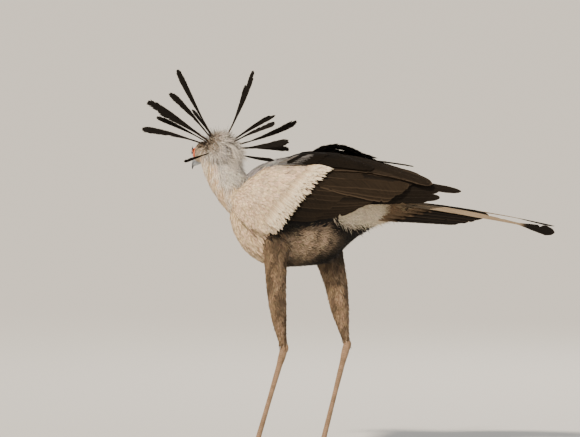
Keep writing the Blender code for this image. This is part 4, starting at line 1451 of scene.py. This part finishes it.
def make_wing_feathers(side, material):
    """The flight feathers and scapulars of one wing."""
    word = "left" if side == LEFT else "right"
    plumage = Plumage()
    roll = dice("flight")
    stations = feather_stations(WING_ROWS)
    for k, ends in enumerate(PRIMARIES):
        tint = flight_tint(stations, 0)
        add_wing_feather(plumage, side, ends, 25, "flight", (-12, -15), 12, 3, tint, f"primary{k}", 0.2)
    for name, tier in TIERS.items():
        count, _, _, first_tip, last_tip, width, lifts, bows, kind = tier
        pitch = abs(last_tip[1] - first_tip[1]) / (count - 1)
        even, by_own = BROWNING.get(name, (0, 0.5))
        for k in range(count):
            own = roll.uniform(0, 0.6)
            tint = flight_tint(stations, even + by_own * own)
            if (name, k) in (("long_covert", count - 1), ("tertial", 0)):
                own = 0.9  # a pale fringe
            if name in ("scapular", "short_scapular"):
                own *= 0.2
                tint = tint * 0.6
            if name == "mantle":
                tint = mix_rows(SLATE, BLACK, 0.3 + 0.4 * roll.uniform() + 0.3 * stations**2)
            ends = tier_ends(tier, k)
            bow = bows[0] + (bows[1] - bows[0]) * k / (count - 1)
            add_wing_feather(plumage, side, ends, width, kind, lifts, pitch, bow, tint, f"{name}{k}", own)
    return plumage.piece(f"flight_feathers_{word}", material, 40)


def make_edge_coverts(material):
    """Overlapping rows of pale pointed coverts along the edge over the flight feathers."""
    plumage = Plumage()
    shares = np.linspace(0, 1, len(COVERT_LINE))
    stations = feather_stations(COVERT_STATIONS)
    for row, (back, count, reach, width, lift) in enumerate(COVERT_ROWS):
        for side in (LEFT, RIGHT):
            roll = dice(f"edge{row}")
            for k in range(count):
                t = np.clip((k + roll.uniform(-0.35, 0.35)) / (count - 1), 0, 1)
                slope = math.radians(50 - 38 * t + roll.normal(0, 5))
                on_line = np.array([np.interp(t, shares, COVERT_LINE[:, axis]) for axis in (0, 1)])
                tip = on_line - COVERT_FACING * back + roll.normal(0, 2.2, 2)
                length = reach * roll.uniform(0.85, 1.2)
                root = tip + np.array((-math.cos(slope), math.sin(slope))) * length
                for end, under in ((root, 3), (tip, 0)):
                    end[1] = min(end[1], np.interp(end[0], *COVERT_TOP) - under)
                tint = mix_rows(COVERT, COVERT_TIP, ramp(stations, 0.35, 0.95)) * roll.uniform(0.82, 1.04)
                lifts = (LOFT - 5 + lift, LOFT - 0.6 + lift + 1.1 * (k % 2))
                seed = f"edge{row}_{k}"
                size = width * roll.uniform(0.8, 1.15)
                own = roll.uniform()
                look = (tint, seed, own, COVERT_STATIONS)
                add_wing_feather(plumage, side, (root, tip), size, "covert", lifts, 30, 1, *look)
    return plumage.piece("edge_coverts", material, 50)


def make_ruffled(material):
    """Scapulars blown up off the back on the far side, frayed."""
    plumage = Plumage()
    roll = dice("ruffled")
    for k, (root, tip, width, rise, copies) in enumerate(RUFFLED):
        for copy in range(copies):
            shift = roll.normal(0, 1, 3) * (8, 6, 2) * (copy > 0)
            tint = np.repeat(np.array([BLACK]), BARBED_ROWS, axis=0)
            place = chart_place("wing_right", np.array(0.3 + 0.05 * k), np.array(0.9 - 0.03 * copy))
            facing = np.array((0.0, 0.5, 1.0))
            start = np.array(root) + shift * 0.4
            end = np.array(tip) + shift * (1, 1, 0) - (17 * copy, 0, 2 * copy)
            seed = f"ruffled{k}{copy}"
            add_barbed_feather(
                plumage, start, end, width, facing, rise - 4.5 * copy, 0.03, tint, place, seed, "flight"
            )
    return plumage.piece("ruffled_scapulars", material)


def make_tail_feathers(material):
    """Six pairs of tail feathers, the middle pair drawn out into streamers with dark ends."""
    plumage = Plumage()
    root_x, root_high, root_low = TAIL_ROOT
    t = feather_stations(TAIL_ROWS)
    for k, (tip_x, tip_z, reach, width) in enumerate(TAIL_PAIRS):
        outer = (k - 1) / (len(TAIL_PAIRS) - 2)
        for side in (LEFT, RIGHT):
            roll = dice(f"tail{k}{side}")
            if k == 0:
                root = (root_x, side * 3, root_high + 7)
                tip = (tip_x, side * reach, tip_z + side * 9)
                kind, bow, outward = "streamer", 10, 13
                tilt, twist = STREAMER_TILT[side], STREAMER_TWIST[side]
                tint = mix_rows(STREAMER, BLACK, ramp(t, 0.795, 0.83))
            else:
                root = (root_x, side * (6 + 12 * outer), root_high + (root_low - root_high) * outer)
                tip = (tip_x + side * 3, side * (reach - 4), tip_z)
                kind, bow, outward = "flight", 4, 0
                tilt, twist = TAIL_TILT, 0
                tint = mix_rows(TAIL_BROWN, BLACK, ramp(t, 0.34 - 0.26 * outer, 0.5 - 0.26 * outer))
                tint = mix_rows(tint, STRAW, 0.4 * ramp(t, 0.975, 0.995))
            slope = math.radians(tilt)
            facing = np.array((0.0, side * math.sin(slope), math.cos(slope)))
            place = chart_place("rump", np.array(0.2 + 0.1 * k), np.array(0.5 + 0.2 * side))
            tint = tint * roll.uniform(0.85, 1.1)
            seed = f"rectrix{k}{side}"
            bend = (side * outward, bow)
            add_free_feather(plumage, root, tip, width, kind, facing, bend, twist, tint, place, seed)
    return plumage.piece("tail_feathers", material, 40)


def make_crest(material):
    """The quills of the crest, and the short dark spikes on the crown between them."""
    plumage = Plumage()
    for index, (angle, length, depth, width, bow) in enumerate(QUILLS):
        turn = math.radians(angle)
        way = np.array((math.cos(turn), 0.0, math.sin(turn)))
        root = HUB + way * 16 + np.array((0, depth * 0.25, 0))
        tip = HUB + way * length + np.array((0, depth, 0))
        facing = np.array((0.15 * math.cos(index), -1, 0.5 * math.sin(2.3 * index)))
        tint = np.repeat(np.array([BLACK]) * 1.3, BARBED_ROWS, axis=0)
        place = chart_place("crest", np.array((index % 6) / 6), np.array(index / len(QUILLS)))
        add_barbed_feather(plumage, root, tip, width, facing, bow, 0.12, tint, place, f"quill{index}")
    roll = dice("spikes")
    count = SPIKES
    angles = np.radians(roll.uniform(20, 175, count))
    depths = roll.uniform(-1, 1, count)
    ways = unit(np.stack([np.cos(angles), depths, np.sin(angles)], axis=-1))
    roots = (HUB + ways * NAPE_RADII * 0.86) * 0.001
    tint = mix_rows(BLACK, SLATE, roll.uniform(0, 0.35, count))
    place = chart_place("nape", roll.uniform(size=count), roll.uniform(size=count))
    facing = unit(np.cross(ways, (0.0, 1.0, 0.0)))
    length = roll.uniform(18, 36, count)
    add_feathers(plumage, roots, ways, facing, length, 3.2, 0.05, 0.0, tint, place, "lance", "spike")
    return plumage.piece("crest_quills", material, 60)


def make_mane(material):
    """Long loose white feathers that fall from the nape over the neck, and some that the wind lifts."""
    plumage = Plumage()
    roll = dice("mane")
    count = MANE_FEATHERS
    angles = np.radians(roll.uniform(-110, 60, count))
    depths = roll.uniform(-1.1, 0.7, count)
    out = unit(np.stack([np.cos(angles) * 0.9 + 0.1, depths, np.sin(angles)], axis=-1))
    roots = (HUB + out * NAPE_RADII * 0.93) * 0.001
    back, sideways = roll.normal(0.45, 0.16, count), roll.normal(0, 0.12, count)
    fall = np.stack([back, sideways, np.full(count, -0.85)], axis=-1)
    lifted = roll.uniform(size=count) < 0.12
    fall[lifted] = roll.normal((0.95, -0.1, -0.15), (0.1, 0.2, 0.3), (int(lifted.sum()), 3))
    kept = 0.15 + 0.7 * ramp(out[:, 2], -0.5, 0.2)[:, None]
    along = unit(fall - out * np.sum(fall * out, axis=1)[:, None] * kept + out * 0.12)
    tint = mix_rows(WHITE, SLATE, 0.75 * roll.uniform(size=count) ** 3)
    tint = tint * roll.uniform(0.8, 1.05, (count, 1))
    place = chart_place("nape", roll.uniform(size=count), roll.uniform(size=count))
    length = roll.uniform(28, 58, count)
    normal = unit(np.cross(np.cross(along, out), along))
    add_feathers(plumage, roots, along, normal, length, 1.6, 0.08, 0.12, tint, place, "wisp", "mane")
    return plumage.piece("mane", material, 50)


def make_bill(horn):
    """The hooked upper bill with its cere and nostrils, and the lower bill."""

    def upper_relief(t, angle):
        forward = rows_at(np.array(UPPER_BILL, float), t)[:, 0]
        step = 0.7 * ramp(forward, CERE_EDGE + 1.5, CERE_EDGE - 1.5)
        side = np.abs(np.sin(angle))
        slit = np.exp(-(((forward - NOSTRIL[0]) / 3.4) ** 2) - ((np.abs(angle) - 1.28) / 0.16) ** 2)
        return step - 3.6 * slit - 0.25 * np.exp(-(((side - 0.96) / 0.05) ** 2)) * (forward > 44)

    def half_bill(name, spans, sides, rings, relief=None):
        rows = [(*on_head(f, 0, u), a, b) for f, u, a, b in spans]
        bm = bmesh.new()
        add_body(bm, Tube(rows, HEAD_LEFT, relief=relief), sides, rings)
        return object_from(bm, name, horn)

    upper = half_bill("upper_bill", UPPER_BILL, 64, 72, upper_relief)
    lower = half_bill("lower_bill", LOWER_BILL, 40, 36)
    for obj, stands_for in ((upper, "bill_upper"), (lower, "bill_lower")):
        forward, _, up = in_head(points_of(obj)).T
        slit = np.exp(-(((forward - NOSTRIL[0]) / 3.0) ** 2) - ((up - NOSTRIL[1]) / 1.3) ** 2)
        # On the upper bill, 'grow' also darkens the nostril slit: painted shade in its hollow.
        give(obj, "grow", ramp(forward, CERE_EDGE, 66) + 2.5 * slit * (obj is upper))
        wears(obj, "bill", stands_for)


def make_eyeball(word, centre, look, material):
    """An eye whose cornea stands out a little; its points know their angle from the pupil."""
    bm = bmesh.new()
    bmesh.ops.create_uvsphere(bm, u_segments=32, v_segments=20, radius=EYE_RADIUS * 0.001)
    angles = []
    for v in bm.verts:
        way = Vector(v.co).normalized()
        angle = math.acos(max(-1, min(1, way.dot(Vector(look)))))
        angles.append(angle)
        v.co = v.co * (1 + 0.05 * math.exp(-((angle / 0.6) ** 2))) + Vector(centre)
    eye = object_from(bm, f"eyeball_{word}", material)
    give(eye, "grow", angles)
    wears(eye, "eye", f"eye_{word}")


def make_lids(word, side, centre, look, face_along, face_up, material):
    """Rings of wrinkles round an eye, and the brow over it."""
    bm = bmesh.new()
    for ring in range(LID_RINGS):
        rows = []
        for k in range(LID_TURNS + 1):
            angle = 2 * math.pi * k / LID_TURNS
            size = (8.6 + 2.6 * ring, 7.2 + 2.3 * ring)
            out = face_along * math.cos(angle) * size[0] + face_up * math.sin(angle) * size[1]
            middle = centre * 1000 + out - look * 2.2 * ring
            rows.append((*middle, 2.2 - 0.25 * ring, 1.7 - 0.2 * ring))
        add_body(bm, Tube(rows, tuple(look)), 12, LID_TURNS * 2)
    brow = [(*on_head(a, b * side - 0.8 * side, c), 2.6, 3.6) for a, b, c in BROW]
    add_body(bm, Tube(brow, tuple(HEAD_LEFT)), 20, 30)
    wears(fuse(bm, f"lids_{word}", material, 0.7, 2), "pale_plumage")


def add_lashes(plumage, word, centre, look, face_along, face_up):
    """Long dark lashes that stand out over an eye."""
    roll = dice("lash" + word)
    turn = np.radians(np.linspace(5, 175, LASHES) + roll.normal(0, 3, LASHES))
    out = face_along * np.cos(turn)[:, None] + face_up * np.sin(turn)[:, None]
    roots = centre + look * 0.001 + out * 0.0076
    way = unit(look * 0.75 + out * 0.75)
    normal = unit(np.cross(np.cross(way, out), way))
    tint = np.repeat(np.array([BLACK]) * 0.6, LASHES, axis=0)
    place = chart_place("head", roll.uniform(size=LASHES), roll.uniform(size=LASHES))
    add_feathers(plumage, roots, way, normal, 13, 1.1, 0.1, -0.35, tint, place, "wisp", "lash" + word)


def make_eyes(eye_surface, lid_surface, lash_surface):
    """Eyes under wrinkled lids, with long lashes and a brow."""
    lashes = Plumage()
    for side, word in ((1, "left"), (-1, "right")):
        centre = on_head(EYE[0], EYE[1] * side, EYE[2]) * 0.001
        look = unit(HEAD_LEFT * side + FORWARD * 0.28 + HEAD_UP * 0.05)
        face_up = unit(HEAD_UP - look * (HEAD_UP @ look))
        face_along = np.cross(look, face_up)
        rim = centre + look * 0.0058
        make_eyeball(word, centre, look, eye_surface)
        make_lids(word, side, rim, look, face_along, face_up, lid_surface)
        add_lashes(lashes, word, rim, look, face_along, face_up)
    wears(lashes.piece("lashes", lash_surface), "pale_plumage")


def scute_relief(length, pitch, height, front):
    """Plates across the front of a leg or the top of a toe, small scales elsewhere."""

    def relief(t, angle):
        along = t * length / pitch
        facing = ramp(np.cos(angle - front), -0.1, 0.35)
        plate = (along % 1) ** 0.35 - 0.75
        small = 0.35 * np.sin(along * 2 * math.pi * 2) * np.sin(angle * 9 + (along * 2 // 1) * math.pi)
        return height * (plate * facing + small * (1 - facing))

    return relief


def plate_lines(places, start, reach, plates, front):
    """1 in the grooves between the plates along a leg or a toe, on the side that looks that way."""
    share = ((places - start) @ reach) / (reach @ reach)
    phase = (share * plates) % 1
    off = unit(places - start - share[:, None] * reach)
    return np.maximum(ramp(phase, 0.26, 0.04), ramp(phase, 0.93, 1.0)) * ramp(off @ front, -0.2, 0.3)


def toe_way(side, angle):
    """Which way a toe points along the floor, and across it."""
    way = math.radians(180 - angle * (1 if side == LEFT else -1))
    return np.array((math.cos(way), math.sin(way), 0.0)), np.array((-math.sin(way), math.cos(way), 0.0))


def make_claw(name, start, out, across, material):
    """A claw curved down to the floor from the end of its toe."""
    rows = [(*(start + out * CLAW_LENGTH * s + UP * h), r, r * 0.8) for s, h, r in CLAW_SPANS]
    bm = bmesh.new()
    add_body(bm, Tube(rows, tuple(across)), 20, 28)
    claw = object_from(bm, f"nail_{name}", material)
    give(claw, "grow", ramp((points_of(claw) * 1000 - start) @ out, 0, CLAW_LENGTH))
    wears(claw, "claw", f"claw_{name}")


def make_leg(side, scaly, horn):
    """The bare scaled tarsus and toes in one piece, and the claws."""
    word = "left" if side == LEFT else "right"
    ankle = np.array(ANKLES[side], float)
    foot = np.array((*FEET[side], 9.0))
    base = np.array((*FEET[side], 0.0))
    bm = bmesh.new()
    rows = [(*(ankle + (foot - ankle) * share), a, b) for share, a, b in TARSUS_RADII]
    even = rows_at_shares(rows, [row[0] for row in TARSUS_RADII], 12)
    scutes = scute_relief(TARSUS_LENGTH, TARSUS_PITCH, 1.3, math.pi)
    add_body(bm, Tube(even, relief=scutes), 56, 330)
    add_body(bm, Ball(ankle - UP * 4, np.array((11.0, 9.5, 15.0))), 32, 24)
    for name, angle, length, radius in TOES:
        out, across = toe_way(side, angle)
        rows = [(*(base + out * length * s + UP * h), radius * k, radius * k) for s, h, k in TOE_SPANS]
        scutes = scute_relief(length * TOE_PLATES, TOE_PITCH, 1.1, 0.0)
        add_body(bm, Tube(rows, tuple(across), relief=scutes), 32, 70)
        make_claw(f"{name}_{word}", base + out * (length * 0.95), out, across, horn)
    for v in bm.verts:
        v.co.z = max(v.co.z, 0.0003)
    leg = fuse(bm, f"scaled_leg_{word}", scaly, 0.85, 1)
    places = points_of(leg) * 1000
    ahead = np.array((-1.0, 0.0, 0.0))
    groove = plate_lines(places, ankle, foot - ankle, TARSUS_LENGTH / TARSUS_PITCH, ahead)
    groove *= places[:, 2] > 22
    first, last = TOE_SPANS[0][0], TOE_SPANS[-1][0]
    for _, angle, length, radius in TOES:
        out, across = toe_way(side, angle)
        reach = out * length * (last - first)
        lines = plate_lines(places, base + out * length * first, reach, length * TOE_PLATES / TOE_PITCH, UP)
        off = np.abs((places - base) @ across)
        on_toe = (off < radius * 1.2) * (places[:, 2] < 26) * ((places - base) @ out > 12)
        groove = np.maximum(groove, lines * on_toe)
    # 'grow' marks the grooves between the plates, where the material paints shade.
    give(leg, "grow", groove)
    for v in leg.data.vertices:
        v.co.z = max(v.co.z, 0.0)
    wears(leg, "scaly_leg", f"tarsus_{word}", f"foot_{word}")


def rows_at_shares(rows, shares, count):
    """Rows given at uneven shares of a length, read again at even ones."""
    rows = np.array(rows, float)
    even = np.linspace(0, 1, count)
    return np.stack([np.interp(even, shares, rows[:, k]) for k in range(rows.shape[1])], axis=-1)


def put_in_scene(name, data, place, way):
    """A light or a camera at a place, looking that way."""
    obj = bpy.data.objects.new(name, data)
    obj.location = place
    obj.rotation_euler = way.to_track_quat("-Z", "Y").to_euler()
    bpy.context.scene.collection.objects.link(obj)
    return obj


def make_light(name, kind, energy, colour, place, way):
    light = bpy.data.lights.new(name, kind)
    light.energy = energy
    light.color = colour
    put_in_scene(name, light, place, way)
    return light


def make_stage():
    """A plain pale floor, soft light from the upper left, and a long lens at the bird's height."""
    bm = bmesh.new()
    bmesh.ops.create_grid(bm, x_segments=1, y_segments=1, size=90)
    made, _, shader = new_material("studio_floor", 0.9)
    shader.inputs["Base Color"].default_value = (0.62, 0.60, 0.56, 1)
    object_from(bm, "floor", made)

    sun = make_light("key", "SUN", 6.2, (1.0, 0.88, 0.73), (0, 0, 0), Vector((0.50, 0.62, -0.78)))
    sun.angle = math.radians(5)
    aim = Vector((-0.1, 0, 0.6))
    for name, place, size, power, colour in (
        ("fill", (3.4, -2.6, 1.6), 3.0, 50, (0.94, 0.97, 1.0)),
        ("back", (1.2, 3.4, 3.0), 2.6, 70, (1.0, 0.97, 0.92)),
    ):
        light = make_light(name, "AREA", power, colour, place, aim - Vector(place))
        light.size = size

    world = bpy.data.worlds.new("studio")
    world.use_nodes = True
    tree = world.node_tree
    sky = tree.nodes["Background"]
    sky.inputs["Color"].default_value = (0.88, 0.90, 0.92, 1)
    seen = node(tree, "ShaderNodeLightPath").outputs["Is Camera Ray"]
    tree.links.new(spread(tree, seen, 0.0, 1.0, 0.42, 0.9), sky.inputs["Strength"])
    bpy.context.scene.world = world

    camera = bpy.data.cameras.new("camera")
    camera.sensor_width = 36
    camera.lens = 36 * CAMERA_DISTANCE / (PHOTO_WIDTH * PIXEL)
    camera.clip_end = 300
    tilt = math.radians(CAMERA_TILT)
    back = Vector((0, -math.cos(tilt), math.sin(tilt)))
    place = Vector(CAMERA_TARGET) + back * CAMERA_DISTANCE
    bpy.context.scene.camera = put_in_scene("camera", camera, place, -back)


def main():
    barbs = make_barb_group()
    relief = make_relief_group()
    soft = feather_material("body_feather", barbs, 34, (0.86, 0.70, 0.48), 0.10, 0.35, 0.15, 0.5)
    flight = feather_material("flight_feather", barbs, 150, (0.16, 0.11, 0.07), 0.42, 0.2, 0.4, 0.3, 0.05)
    quill = feather_material("quill_feather", barbs, 20, (0.03, 0.024, 0.018), 0.1, 0.1, 0.2, 0.2, 0.06)
    horn = horn_material("bill_horn", (0.03, 0.034, 0.042), (0.30, 0.325, 0.35), relief, 120.0, 0.32)
    nail = horn_material("claw_horn", (0.02, 0.017, 0.015), (0.09, 0.075, 0.06), relief, 220.0, 0.35)
    bodies = make_bodies()
    skin = make_skin(bodies, skin_material(relief))
    roots = plant(bodies, skin)
    tint_skin(skin, roots[0], roots[5])
    flesh = [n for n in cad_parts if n.startswith(FLESH)]
    wears(skin, "pale_plumage", *flesh)
    for piece in make_coat(roots, soft):
        wears(piece, "pale_plumage")
    for side in (LEFT, RIGHT):
        wears(make_wing_feathers(side, flight), "wing_feathers")
    wears(make_edge_coverts(soft), "wing_feathers")
    wears(make_ruffled(quill), "wing_feathers")
    wears(make_tail_feathers(flight), "tail_feathers")
    wears(make_crest(quill), "crest_quills")
    wears(make_mane(soft), "pale_plumage")
    make_bill(horn)
    make_eyes(eye_material(), lid_material(relief), quill)
    scaly = scaled_material(relief)
    for side in (LEFT, RIGHT):
        make_leg(side, scaly, nail)
    make_stage()


main()
